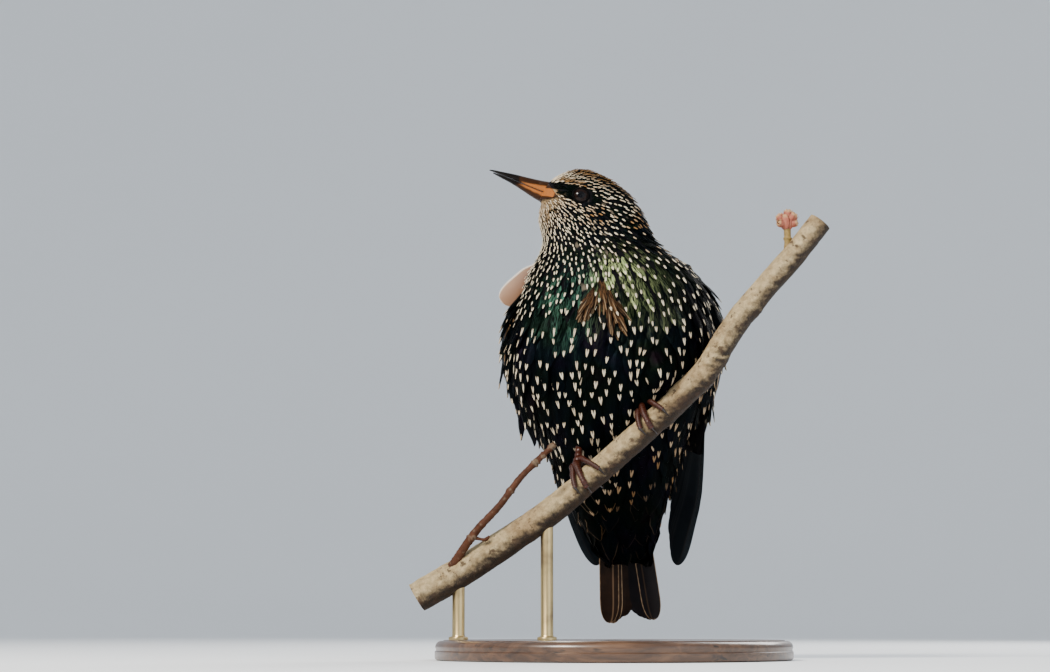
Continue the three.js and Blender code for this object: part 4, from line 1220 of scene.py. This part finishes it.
def flank_coat():
    """Long flank feathers that lap over the leading edge of each folded wing."""
    for name, wing in WING.items():
        rows = []
        for row, l in enumerate(np.arange(-2, 52, 4.6)):
            reach = half_chord(l)
            for step, share in enumerate((-0.97, -0.72, -0.48)):
                if step == 2 and l > 34:
                    continue
                rows.append((share * reach + (row % 2) * 1.6, l + RNG.normal(0, 0.5)))
        roots, cells = wing.skin_at(np.array(rows))
        count = len(roots)
        mark = together(RNG.uniform(1.8, 2.8, count), RNG.uniform(0.5, 0.75, count), 0.9)
        mark[:, 0] *= RNG.random(count) > 0.12
        tone = together(RNG.uniform(0.1, 0.5, count), 0, 0)
        rise = 2.0 if name == "left" else 3.0
        grow(f"coat_flank_{name}", roots, cells, RNG.uniform(12, 15, count), 6.8, rise, mark, tone,
             point=0.9, curl=0.2, yaw=0.14)


def wing_coat():
    """Lesser coverts and the marginal feathers over the bend of each wing."""
    for name, wing in WING.items():
        rows = []
        for row, l in enumerate(np.arange(-5, 24, 3.4)):
            reach = half_chord(l) * 0.96
            count = max(int(round(2 * reach / 4.4)), 3)
            a = (np.arange(count) + 0.5 + 0.5 * (row % 2)) / count * 2 * reach - reach
            rows.append(together(a[a < reach], l))
        spots = np.concatenate(rows)
        roots, cells = wing.skin_at(spots + RNG.normal(0, 0.25, spots.shape))
        count = len(roots)
        mark = together(RNG.uniform(1.3, 2.1, count), RNG.uniform(0.5, 0.7, count), 0.9)
        tone = together(RNG.uniform(0.2, 0.8, count), 0, 0)
        length = RNG.uniform(10, 12.5, count)
        grow(f"coat_wing_{name}", roots, cells, length, 7.2, 1.35, mark, tone, point=0.45)


# Flight feathers: fine closed vanes on a sheet, each with its shaft
def vane_section(columns, s, half, blunt, power):
    """A vane's places across, its sides and its half width at each share of its length."""
    t, side = strip(columns)
    end = np.sqrt(np.maximum(1 - np.clip((s - blunt) / (1 - blunt), 0, 1) ** power, 0.0004))
    return t, side * (1 - t**4), (half * end)[:, None]


def sheet_vane(surface, root, tip, width, low, high, blunt, shaft, point=0.24, base=0.45, thick=0.34):
    """A closed vane on a sheet: points, faces and its feather, across and upper values."""
    end = np.sin(np.linspace(0.1, 1, 10) * math.pi / 2)
    s = np.concatenate([np.linspace(0, blunt, 12), mix(blunt, 1, end)])
    root, way = np.array(root, float), np.array(tip, float) - root
    t, top, half = vane_section(8, s, width / 2 * mix(base, 1, smooth(s, 0, 0.35)), blunt, 2 + 2 * point)
    s = s[:, None]
    off = (t - shaft) * half
    x, y = unit(way)
    a, l = root[0] + way[0] * s + t * half * y, root[1] + way[1] * s - t * half * x
    ridge = 0.16 * bell(off, 0, 0.35) * (1 - 0.6 * s) * np.sign(top)
    h = mix(low, high, smooth(s, 0, 0.5)) + top * thick / 2 - 0.10 * np.abs(off) + ridge
    points, faces = loft(surface(a, l, h))
    feather = together(off, (1 - s) * size_of(way), s)
    tip_near = smooth(s, 0.93, 1.0)
    across = np.where(np.abs(t) < 1e-6, tip_near, np.sign(t) * np.maximum(np.abs(t), tip_near))
    upper = np.where(top > 0.01, 1.0, np.where(top < -0.01, 0.0, 0.5)) * np.ones_like(off)
    return points, faces, with_ends(feather), with_ends(across), with_ends(upper)


Tier = namedtuple("Tier", "vanes root tip width layers fringe gloss shaft blunt ease", defaults=(0.72, 1))
# root and tip are the places across and along the wing of a tier's first and last vane
TIERS = (
    Tier(9, ((-11, 36), (-4, 34)), ((-2.2, WING_LENGTH), (5.0, WING_LENGTH - 34)), 9.2, (0, 2.1),
         fringe=0.07, gloss=0.5, shaft=-0.35, blunt=0.84, ease=1.25),
    Tier(6, ((-3, 34), (6, 30)), ((3.5, 92), (9, 84)), 9.5, (2.2, 3.2), fringe=0.13, gloss=0.7, shaft=-0.25),
    Tier(3, ((8, 27), (12, 20)), ((9, 81), (12, 64)), 11.5, (3.5, 4.1), fringe=0.16, gloss=0.4, shaft=-0.1),
    Tier(6, ((-11, 24), (-13.2, 15)), ((-8.0, 68), (-13, 46)), 5.5, (2.2, 2.9), fringe=0.16, gloss=0.4,
         shaft=-0.2),
    Tier(9, ((-10.5, 18), (11.5, 14)), ((-9, 54), (13.2, 46)), 7.2, (3, 3.9), fringe=0.20, gloss=0.9,
         shaft=-0.1),
    Tier(8, ((-11, 4), (11, 1)), ((-12, 33), (12.5, 29)), 7.8, (3.6, 4.2), fringe=0.22, gloss=0.8, shaft=0.0),
)
LAYER_STEP = 0.35
SUNK = -1.2


def vane_group(name, vanes, replaces, material=None, slot="flight_feathers"):
    """Several vanes as one piece, each with its own patch in the bake map."""
    points, faces = joined([v[:2] for v in vanes])
    mark, tone, uv = [], [], []
    cells = math.ceil(math.sqrt(len(vanes)))
    for k, (_, _, feather, across, upper, info) in enumerate(vanes):
        mark.append(together(across, info.get("fringe", 0.1), info.get("gloss", 0)))
        fringed = np.maximum(upper, info.get("under", 0))
        tone.append(together(info.get("warm", 0.5), info.get("brown", 0), fringed))
        place = together(across.clip(-1, 1), feather[:, 2] * 2 - 1)
        uv.append((np.array([k % cells, k // cells]) + 0.5 + 0.46 * place) / cells)
    feather = np.concatenate([v[2] for v in vanes])
    piece = new_mesh(name, points, faces, slot, material or FLIGHT, replaces, sharp=80, feather=feather,
                     mark=np.concatenate(mark), tone=np.concatenate(tone))
    set_uv(piece, np.concatenate(uv))


def wing_piece(name, wing):
    points, faces = loft(wing_flesh(wing))
    new_mesh(f"wing_flesh_{name}", points, faces, "plumage", SKIN)
    vanes = []
    for tier in TIERS:
        for k in np.linspace(0, 1, tier.vanes):
            root = mix(*np.array(tier.root, float), k)
            x, y = mix(*np.array(tier.tip, float), np.array([k, k**tier.ease]))
            tip = (x + RNG.normal(0, 0.25), y + RNG.normal(0, 0.5))
            width = tier.width * RNG.uniform(0.95, 1.05)
            high = mix(*tier.layers, k) * LAYER_STEP + 0.35
            vane = sheet_vane(wing.surface, root, tip, width, SUNK, high, tier.blunt, tier.shaft, point=0.3)
            gloss = tier.gloss * RNG.uniform(0.7, 1.1)
            vanes.append((*vane, {"fringe": tier.fringe, "gloss": gloss, "warm": RNG.uniform(0.5, 1)}))
    vane_group(f"vanes_{name}", vanes, (f"wing_{name}",))


def loose_feather():
    """A pale feather out of place at the right shoulder."""
    root, tip = np.array([-27.0, 0, 161]), np.array([-45.6, 5, 146.2])
    way = tip - root
    out = np.array([0.15, -1, 0])
    side = unit(np.cross(out, way))

    def surface(a, l, h):
        a, l, h = np.broadcast_arrays(a, l, h)
        bow = 1.4 * np.sin(l * math.pi)
        cup = -0.035 * a**2
        return root + way * l[..., None] + side * (a + bow)[..., None] + unit(out) * (h + cup)[..., None]

    s = np.concatenate([np.linspace(0, 0.85, 18), 1 - 0.15 * np.cos(np.linspace(0.2, 1, 7) * math.pi / 2)])
    t, top, half = vane_section(12, s, 6.4 * mix(0.5, 1, smooth(s, 0, 0.4)), 0.45, 2.6)
    s = s[:, None]
    points, faces = loft(surface(t * half, s, top * 0.17))
    feather = with_ends(together(t * half, (1 - s) * size_of(way), s))
    across = with_ends(np.maximum(np.abs(t), smooth(s, 0.88, 1.0)))
    vane = (points, faces, feather, across, across, {})
    vane_group("loose_feather", [vane], (), loose_material(), "plumage")


# Tail: twelve feathers on a flat sheet, the outer ones lowest
TAIL_ROOT, TAIL_TIP = np.array([5.6, 28.2, 55.0]), np.array([9.6, 46.2, 16.0])
TAIL_SHOWN = 43.8


def tail_sheet(a, l, h):
    way = unit(TAIL_TIP - TAIL_ROOT)
    side = unit(np.array([1.0, 0, 0]) - way * way[0])
    up = unit(np.cross(way, side))
    up = up if up[1] > 0 else -up
    flat = TAIL_ROOT + np.multiply.outer(l, way) + np.multiply.outer(a, side)
    return flat + np.multiply.outer(h - 0.004 * a * a, up)


def tail():
    vanes = []
    for k in range(6):
        t = k / 5
        for side in (-1, 1):
            high = (5 - k + (0.4 if side > 0 else 0)) * LAYER_STEP
            root = (side * mix(0.8, 5.8, t), -9)
            tip = (side * mix(1.4, 9.4, t), TAIL_SHOWN - 4 * (1 - t) ** 1.5 + RNG.normal(0, 0.3))
            shaft = -0.4 * side * t
            vane = sheet_vane(tail_sheet, root, tip, 8.2, high, high, 0.78, shaft, base=0.8, thick=0.3)
            brown, bare_from = (0.25, 5) if side > 0 else (0.9, 4)
            info = {"fringe": 0.06, "gloss": 0.15, "warm": RNG.uniform(0.3, 1), "brown": brown}
            vanes.append((*vane, {**info, "under": float(k >= bare_from)}))
    vane_group("tail_feathers", vanes, ("tail",))


# Bill: two smooth halves from the same sections as the solids
UPPER = [  # along, top, low, half width
    (17.0, 1.0, -4.6, 4.2),
    (17.8, 0.8, -4.6, 4.0),
    (22, -0.1, -4.5, 3.3),
    (27, -0.9, -4.3, 2.6),
    (32, -1.6, -4.05, 2.0),
    (37, -2.5, -3.9, 1.35),
    (40.8, -3.2, -3.9, 0.75),
    (42.4, -3.65, -4.0, 0.3),
]
LOWER = [
    (17.0, -4.95, -8.5, 3.8),
    (17.8, -4.95, -8.4, 3.7),
    (22, -4.85, -7.8, 3.0),
    (27, -4.65, -6.7, 2.3),
    (32, -4.4, -5.7, 1.7),
    (37, -4.25, -5.1, 1.05),
    (40.6, -4.3, -4.65, 0.35),
]
NOSTRIL = (21.6, -1.9)


def bill_half(name, rows, arched, node):
    rows = along_table(rows, np.linspace(0, len(rows) - 1, 60))
    round_way = np.linspace(0, math.pi, 25)
    flat = np.linspace(-0.86, 0.86, 9)
    along, top, low, half = (rows[:, k : k + 1] for k in range(4))
    edge, rise = (low, top - low) if arched > 0 else (top, low - top)
    up = edge + rise * np.concatenate([np.sin(round_way) ** 0.85, 0.05 * (1 - flat**2)])
    out = half * np.concatenate([np.cos(round_way), flat]) * (1 - 0.05 * bell(up, edge, 0.55))
    if arched > 0:
        pit = np.hypot((along - NOSTRIL[0]) / 1.25, (up - NOSTRIL[1]) / 0.62)
        hood = np.hypot((along - NOSTRIL[0]) / 2.2, (up - NOSTRIL[1] - 0.45) / 0.9)
        out = out * (1 + 0.06 * np.exp(-hood**2) - 0.24 * np.exp(-(pit**2) * 1.3))
    along, up, out = np.broadcast_arrays(along, up, out)
    points, faces = loft(in_head(along, up, out))
    share = (up - edge) / np.where(np.abs(rise) < 1e-6, 1, np.abs(rise))
    new_mesh(name, points, faces, "bill", BILL, (node,), bill=capped(together(along, share, out)))


def gape(name, sign):
    """The bare fleshy corner of the mouth, from the side of the bill back onto the cheek."""
    along = np.linspace(18.8, 12.5, 18)[:, None]
    t, outer = strip(8)
    reach = mix(0.15, 3.6, np.clip((along - 12.5) / 5, 0, 1) ** 0.8)
    up = mix(-5.4, -4.4, smooth(along, 13, 18)) + reach * t
    drop = np.clip(-up, 0, 5) / 5
    front, back, deep = mix(18.6, 19.2, drop), mix(-24.2, -29.4, drop), mix(11.8, 12.6, drop)
    share = np.clip((along - (front + back) / 2) / ((front - back) / 2), 0, 0.999)
    side = deep * (1 - share**SECTION_POWER) ** (1 / SECTION_POWER) - COAT_DEPTH[0]
    swell = 0.95 * np.sqrt(1 - t**2) - 0.2 - 0.4 * bell(t, 0, 0.13) * smooth(along, 12.8, 14)
    points, faces = loft(in_head(along + 0 * up, up, sign * (side + np.where(outer > 0, swell, -1.0))))
    along, up, _ = head_place(points)
    # the gape goes dark at its back end, and its lower edge takes the bill's dark underside, painted shade
    dark = np.maximum(smooth(-along, -14.4, -13.2), smooth(-up, 5.9, 6.8))
    share = mix(mix(0.1, 1.0, smooth(up, -3.4, -2.2)), -0.8, dark)
    new_mesh(f"gape_{name}", points, faces, "bill", BILL, bill=together(along + 3, share, up))


EYE_FLAT = 0.86  # the front of the eye is a little flatter than a ball
EYE_BULGE = 0.18


# Eyes: a ball with a slightly raised clear front, and the ring of its lids
def eye(name, sign):
    centre = in_head(EYE_ALONG, EYE_UP, sign * EYE_OUT)
    front, up = sign * LEFT_WAY, unit(CROWN_WAY)
    side = np.cross(front, up)
    polar = np.linspace(0, math.pi, 34)[1:-1]
    angle = circle(48)[:, None]
    bulge = EYE_RADIUS + EYE_BULGE * bell(polar, 0, 0.55)
    from_axis = bulge * np.sin(polar)
    ring = np.cos(angle) * side + np.sin(angle) * up
    depth = bulge * np.cos(polar) * np.where(polar < math.pi / 2, EYE_FLAT, 1)
    rings = centre + ring * from_axis[:, None, None] + front * depth[:, None, None]
    points, faces = loft(rings)
    points[-2] = centre + front * (EYE_RADIUS + EYE_BULGE) * EYE_FLAT
    points[-1] = centre - front * EYE_RADIUS
    shown = np.concatenate([np.repeat(np.where(polar < 1.6, from_axis, 9), 48), [0, 9]])
    new_mesh(f"eye_ball_{name}", points, faces, "eye", EYE, (f"eye_{name}",), eye=shown)
    # the lid ring is a little longer than high, thick and creased
    count, sides = 72, 12
    around, section = circle(count), circle(sides)
    reach = EYE_OPENING - 0.02 + 0.22 * np.cos(around) ** 2
    depth = EYE_OUT + EYE_FLAT * np.sqrt(EYE_RADIUS**2 - EYE_OPENING**2)
    thick = (0.42 + 0.05 * np.sin(around * 9))[:, None]
    radial = np.cos(around)[:, None] * BILL_WAY + np.sin(around)[:, None] * up
    middle = in_head(EYE_ALONG, EYE_UP, sign * depth) + radial * reach[:, None]
    wide, proud = (thick * np.cos(section) * 1.25)[..., None], (thick * np.sin(section))[..., None]
    points = middle[:, None] + radial[:, None] * wide + front * proud
    i, j = np.meshgrid(np.arange(count), np.arange(sides), indexing="ij")
    here, there, k = i * sides, (i + 1) % count * sides, (j + 1) % sides
    faces = together(here + j, here + k, there + k, there + j).reshape(-1, 4)
    new_mesh(f"eyelid_{name}", points.reshape(-1, 3), faces, "eye", LID)


# Legs: toes of ringed scutes round the branch, each with its claw
TOES = [  # start and end along the branch, reach round it in degrees, radius, claw
    (-2.6, -7.8, 88, 1.15, 34),
    (-0.8, -4.2, 112, 1.3, 34),
    (1.2, 4.4, 92, 1.15, 32),
    (-0.4, 0.4, -128, 1.3, -36),
]
FEET = {"left": (17.0, (13, -17, 111)), "right": (-9.0, (-13, -7, 96))}
PERCH_RADIUS, BALL_ANGLE, BALL_LIFT, BALL_RADIUS, GAP = 5.25, -14, 3.3, 2.2, 0.3


def branch_at_x(x):
    return float(np.interp(x, BRANCH_CURVE.points[:, 0], BRANCH_CURVE.at))


def on_branch(at, along, angle, radius):
    l = at + np.asarray(along, float)
    way = BRANCH_CURVE.way(l)
    up = unit(np.array([0, 0, 1.0]) - way * way[..., 2:])
    front = np.cross(way, up)
    angle = np.radians(angle)[..., None]
    out = (up * np.cos(angle) + front * np.sin(angle)) * np.asarray(radius, float)[..., None]
    return BRANCH_CURVE.point(l) + out


def scuted(scutes):
    """Radius of a toe along and round it: a crease after each scute, pads below."""
    def shape(t, angle):
        phase = (t * scutes) % 1
        crease = 1 - 0.22 * bell(phase, 0, 0.15) - 0.22 * bell(phase, 1, 0.15)
        return crease * (1 + 0.05 * np.cos(angle * 2))
    return shape


def foot(name, x, ankle):
    at = branch_at_x(x)
    parts, info = [], []

    def add(centres, radii, sides, scutes):
        parts.append(loft(tube(centres, radii, sides, scuted(scutes))))
        phase = (np.linspace(0, 1, len(centres))[:, None] * scutes) % 1
        crease = np.minimum(phase, 1 - phase) * 2 + 0 * np.arange(sides)
        info.append(capped(together(crease, 1, 1)))

    claws = []
    ball = on_branch(at, -0.6, np.float64(BALL_ANGLE), PERCH_RADIUS + BALL_LIFT)
    for start, end, reach, radius, claw in TOES:
        t = np.linspace(0, 1, 64)
        sign = np.sign(reach)
        lift = mix(BALL_LIFT, radius + GAP - 0.05, smooth(t, 0, 0.45))
        angle = mix(BALL_ANGLE + sign * 4, reach, t)
        centres = on_branch(at, mix(start, end, t), angle, PERCH_RADIUS + lift)
        joints = 1 + 0.13 * np.sin(t * math.pi * 3) ** 8 + 0.10 * bell(t, 1, 0.08)
        add(centres, radius * mix(1.05, 0.82, t) * joints, 18, 13)
        k = np.linspace(-0.2, 1, 20)
        out = k.clip(0, 1)
        height = PERCH_RADIUS + mix(radius + 0.35, 1.0, out**1.5)
        line = on_branch(at, np.full(20, end), reach + claw * k, height)
        claws.append(loft(tube(line, mix(0.80, 0.12, out**0.8), 12, lambda _, a: 1 + 0.12 * np.cos(a * 2))))
    t = np.linspace(0, 1, 40)
    add(mix(ball, np.array(ankle, float), t[:, None]), mix(1.6, 1.4, t) + 0.5 * bell(t, 0, 0.1), 18, 9)
    theta = np.linspace(0.05, math.pi - 0.05, 14)
    knuckle = ball + np.outer(np.cos(theta), [0, 0, 1.0]) * BALL_RADIUS * 0.95
    add(knuckle, np.sin(theta) * BALL_RADIUS, 20, 5)
    toe = np.concatenate(info)
    new_mesh(f"toes_{name}", *joined(parts), "foot_scales", FOOT, (f"foot_{name}",), toe=toe)
    new_mesh(f"claws_{name}", *joined(claws), "foot_scales", CLAW)


# Branch: bark with knots, scars and cut ends; then the twig and the bud
KNOTS = [  # share of the length, angle round it, height, reach along
    (0.155, 30, 1.5, 7),
    (0.10, 320, 1.0, 4),
    (0.235, 345, 0.8, 4),
    (0.31, 200, 0.8, 5),
    (0.40, 300, 0.9, 3.5),
    (0.55, 265, 1.3, 3),
    (0.60, 60, 0.9, 5),
    (0.645, 280, 1.2, 3.4),
    (0.69, 250, 1.1, 4),
    (0.77, 20, 0.9, 6),
    (0.80, 275, 1.3, 3.2),
    (0.86, 140, 0.8, 5),
    (0.93, 10, 0.8, 4),
]


def branch():
    rows, sides = 520, 72
    l = np.linspace(0, BRANCH_CURVE.length, rows)
    radius = np.interp(l, BRANCH_STEPS, BRANCH_RADII)
    centres = BRANCH_CURVE.point(l)
    base = tube(centres, radius, sides)
    out = unit(base - centres[:, None])
    angle = np.arange(sides) * 360 / sides
    grooves = waves(base * [0.25, 1, 0.25], 3.4, 5)
    bumps = waves(base, 18, 6) * 0.34 + grooves * 0.16
    below = smooth(-out[..., 2], 0.0, 0.8)
    bumps += below * waves(base, 1.3, 8) * 0.12
    for at, where, size, spread in KNOTS:
        beside = (angle - where + 180) % 360 - 180
        away = np.hypot((l[:, None] - at * BRANCH_CURVE.length) / spread, beside / 55)
        bumps += size * np.exp(-(away**2) * 2) - size * 0.55 * bell(away, 0, 0.28)
    room = 0.1 - 0.35 * waves(base, 9, 9) ** 2
    points = base + out * (bumps * 0.55 + room - 0.15)[..., None]
    info = together(l[:, None], bumps, angle)
    low, high = (mix(centres[k], points[k], 0.985) for k in (0, -1))
    bark_points, faces = loft(np.concatenate([low[None], points, high[None]]))
    new_mesh("branch_bark", bark_points, faces, "bark", BARK, ("branch",), sharp=50,
             bark=capped(np.concatenate([info[:1], info, info[-1:]])))
    ways = BRANCH_CURVE.way(np.array([0.0, BRANCH_CURVE.length]))
    ends = ("low", low, centres[0], -ways[0]), ("high", high, centres[-1], ways[1])
    for name, ring, centre, way in ends:
        shares = np.linspace(0, 1, 16)[1:]
        disc = centre + (ring - centre)[None] * shares[:, None, None] * 0.97
        dome = (1 - shares**6) * 0.22 + 0.03
        disc = disc + way * (dome[:, None, None] + 0.03 * waves(disc, 1.4, 4)[..., None])
        back = centre + (ring - centre) * 0.97 - way * 0.5
        points, faces = loft(np.concatenate([disc, back[None]]))
        share = np.concatenate([np.repeat(np.append(shares, 1), len(ring)), [0, 1]])
        new_mesh(f"cut_end_{name}", points, faces, "bark", CUT, sharp=50, cut=share)


TWIG = [  # centre line and radius
    (-66.4, -18, 33.5, 2.2),
    (-60.5, -21, 43.0, 1.7),
    (-54.6, -23, 51.1, 1.5),
    (-45.5, -24, 61.0, 1.4),
    (-37.6, -24, 71.6, 1.3),
    (-29.7, -24, 79.5, 1.2),
    (-23.8, -24, 85.2, 0.8),
]
TWIG_NODES = [  # share of the length, height, reach
    (0.27, 0.55, 1.6),
    (0.36, 0.2, 1.2),
    (0.62, 0.4, 1.2),
    (0.845, 0.9, 1.5),
    (0.90, 0.5, 1.2),
    (0.975, 0.9, 1.6),
]
SPUR = np.array([[0, 0, 0], [2.4, -0.3, -0.6], [5.4, -0.6, -1.0], [7.0, -0.6, 0.4]])


def stem(line, count, shares, radii, sides):
    """Lengths along a line, its points there and the rings of a round stem on it."""
    l = np.linspace(0, line.length, count)
    centres = line.point(l)
    return l, centres, tube(centres, np.interp(l / line.length, shares, radii), sides)


def twig():
    line = Curve([row[:3] for row in TWIG])
    l, centres, rings = stem(line, 220, np.linspace(0, 1, len(TWIG)), [row[3] for row in TWIG], 24)
    nodes = sum(size * bell(l, at * line.length, spread) for at, size, spread in TWIG_NODES)[:, None]
    bumps = nodes * (0.6 + 0.8 * waves(rings, 2.0, 12)) + 0.16 * waves(rings, 1.8, 13)
    pale = nodes * 0.5 + 0.35 * waves(rings, 3.0, 14)
    bark = loft(rings + unit(rings - centres[:, None]) * bumps[..., None])
    # a short side spur above the lowest node
    spur_line = Curve(line.point(TWIG_NODES[0][0] * line.length) + SPUR)
    spur = loft(stem(spur_line, 40, [0, 0.5, 0.8, 1], [0.9, 0.55, 0.8, 0.35], 16)[2])
    height = np.concatenate([capped(together(0, pale, pale)), np.full((len(spur[0]), 3), 0.1)])
    new_mesh("twig_stem", *joined([bark, spur]), "twig_bark", TWIG_BARK, ("twig",), bark=height)


BUD_HEADS = [  # place from the top of the stem, size
    (0, 0, 0, 2.9),
    (2.1, -1, 1.6, 2.0),
    (-2.2, 0.6, 1.4, 2.0),
    (0.4, -0.8, 2.9, 1.9),
    (2.6, -0.6, -0.6, 1.7),
    (-2.4, -1.2, -0.8, 1.7),
]


def bud_scale(centre, axis, azimuth, size, layer):
    """One cupped scale of a plump bud: a pointed closed shell that hugs an egg round the axis."""
    s = np.linspace(0, 1, 12)[:, None]
    t, top = strip(8)
    side = unit(np.cross(axis, [0.3, 1, 0.2]))
    front = np.cross(axis, side)
    polar = mix(2.75, 0.30 + 0.28 * layer, s)
    turn = (azimuth + t * 0.80 * np.sin((0.10 + 0.88 * s) * math.pi) ** 0.6)[..., None]
    radius = size * (0.72 + 0.10 * layer) * (1 + 0.16 * s**5) + top * (1 - t**2) * 0.10
    out, height = (radius * np.sin(polar))[..., None], (radius * 1.35 * np.cos(polar))[..., None]
    return loft(centre + (side * np.cos(turn) + front * np.sin(turn)) * out + axis * height)


def bud():
    head = np.array([68.8, -30.0, 173.4])
    line = Curve([(68.7, -30, 158), (69.0, -30, 166), head])
    rings = stem(line, 60, [0, 0.3, 0.5, 0.56, 0.62, 1], [1.9, 1.5, 1.35, 1.8, 1.4, 1.4], 20)[2]
    parts = [loft(rings + 0.08 * waves(rings, 2, 21)[..., None])]
    info = [np.full(len(parts[0][0]), -1.0)]
    for *place, size in BUD_HEADS:
        centre = head + place
        axis = unit(np.array(place) + [0, 0, 1.2])
        for layer, count in enumerate((3, 4, 4)):
            for j in range(count):
                azimuth = 2 * math.pi * (j + 0.5 * layer + RNG.uniform(-0.12, 0.12)) / count
                parts.append(bud_scale(centre, axis, azimuth, size, layer))
                info.append(np.clip(((parts[-1][0] - centre) @ axis) / (size * 1.2), 0, 1))
    new_mesh("bud_cluster", *joined(parts), "bud", BUD, ("bud",), scale=np.concatenate(info))


# Display stand
BASE_RADIUS, BASE_HEIGHT, ROD_RADIUS, ROD_PLACES = 72, 8, 2.5, (-62, -27)


def turned_rings(profile, centre, sides):
    angle = circle(sides)
    return [together(centre[0] + r * np.cos(angle), centre[1] + r * np.sin(angle), z) for r, z in profile]


def quarter(centre, radius, count):
    """Most of a quarter of a circle in a profile, from its widest place up."""
    angle = np.radians(np.linspace(0, 80, count))
    return [*zip(centre[0] + radius * np.cos(angle), centre[1] + radius * np.sin(angle))]


def stand():
    r, h = BASE_RADIUS, BASE_HEIGHT
    profile = [(r * 0.5, 0), (r - 1, 0), (r - 0.2, 0.5), (r, 1.2), (r, 3.4), (r - 0.5, 3.8), (r - 0.5, 4.3)]
    profile += quarter((r - 2.8, 5.1), 2.6, 8)
    profile += [(r - 3.4, 7.6), (r - 3.6, h), (r - 12, h), (r * 0.4, h)]
    points, faces = loft(turned_rings(profile, (0, 0), 128))
    new_mesh("base", points, faces, "base_wood", wood_material(), ("stand_base",), sharp=40)
    for index, x in enumerate(ROD_PLACES):
        top = BRANCH_CURVE.point(branch_at_x(x))
        r = ROD_RADIUS
        profile = [(r + 1.4, h + 0.02), *quarter((r + 1.0, h + 0.9), 0.4, 4)]
        profile += [(r + 0.24, h + 1.5), (r, h + 2.0), (r, top[2] - 4.2)]
        points, faces = loft(turned_rings(profile, top, 48))
        node = f"stand_rod_{index + 1}"
        new_mesh(f"rod_{index + 1}", points, faces, "rod_metal", BRASS, (node,), sharp=40)


# Camera, light and stage
CAMERA_AT, CAMERA_TILT, LENS, SENSOR = (-35.67, -892.30, 13.97), 97.5, 75.26, 36.0


def studio():
    data = bpy.data.cameras.new("camera")
    data.lens, data.sensor_width, data.clip_start = LENS, SENSOR, 0.01
    camera = new_object("camera", data)
    camera.location = [v * MM for v in CAMERA_AT]
    camera.rotation_euler = (math.radians(CAMERA_TILT), 0, 0)
    bpy.context.scene.camera = camera
    lamps = (
        ("key", (-0.62, -0.75, 0.85), (0, 0, 0.12), 0.26, 24.0, (1.0, 0.94, 0.85)),
        ("fill", (0.75, -0.85, 0.35), (0, 0, 0.11), 0.9, 3.0, (0.86, 0.93, 1.0)),
        ("rim", (0.55, 0.65, 0.65), (0, 0, 0.12), 0.5, 8.0, (1.0, 0.98, 0.95)),
    )
    for name, place, aim, size, power, colour in lamps:
        lamp = bpy.data.lights.new(name, "AREA")
        lamp.size, lamp.energy, lamp.color = size, power, colour
        thing = new_object(name, lamp)
        thing.location = place
        thing.rotation_euler = (Vector(aim) - Vector(place)).to_track_quat("-Z", "Y").to_euler()
    world = bpy.data.worlds.new("studio")
    world.use_nodes = True
    background = world.node_tree.nodes["Background"].inputs
    background["Color"].default_value = (0.80, 0.87, 0.95, 1)
    background["Strength"].default_value = 0.75
    bpy.context.scene.world = world


def sweep():
    """A pale floor that rises in a wide curve to a backdrop all round."""
    bend = np.linspace(0.1, 1.5, 14)
    curve = zip(1800 + 1400 * np.sin(bend), 1400 * (1 - np.cos(bend)))
    profile = [(200, 0), (900, 0), (1800, 0), *curve, (3220, 2600)]
    points, faces = loft(turned_rings(profile, (0, 0), 96))
    faces = [f for f in faces if len(points) - 1 not in f]
    mesh = bpy.data.meshes.new("floor")
    mesh.from_pydata(((points + [0, 0, -0.05]) * MM).tolist(), [], faces)
    mesh.polygons.foreach_set("use_smooth", np.ones(len(mesh.polygons), bool))
    mesh.materials.append(stage_material())
    new_object("floor", mesh)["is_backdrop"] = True


BILL, EYE, LID, FOOT, CLAW = bill_material(), eye_material(), lid_material(), foot_material(), claw_material()
BARK, CUT, TWIG_BARK = bark_material(), cut_material(), twig_material()
BUD, BRASS = bud_material(), brass_material()

skin()
head_coat()
body_coat()
ruffled_patch()
wing_coat()
flank_coat()
for wing_name, wing_shape in WING.items():
    wing_piece(wing_name, wing_shape)
loose_feather()
tail()
bill_half("upper_bill", UPPER, 1, "bill_upper")
bill_half("lower_bill", LOWER, -1, "bill_lower")
for eye_name, eye_sign in (("left", 1), ("right", -1)):
    eye(eye_name, eye_sign)
    gape(eye_name, eye_sign)
for foot_name, (foot_x, foot_ankle) in FEET.items():
    foot(foot_name, foot_x, foot_ankle)
branch()
twig()
bud()
stand()
studio()
sweep()


def plain(box):
    return [[float(v) for v in corner] for corner in box]


{"cad": plain(CAD_BOX), "visual": plain(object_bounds())}
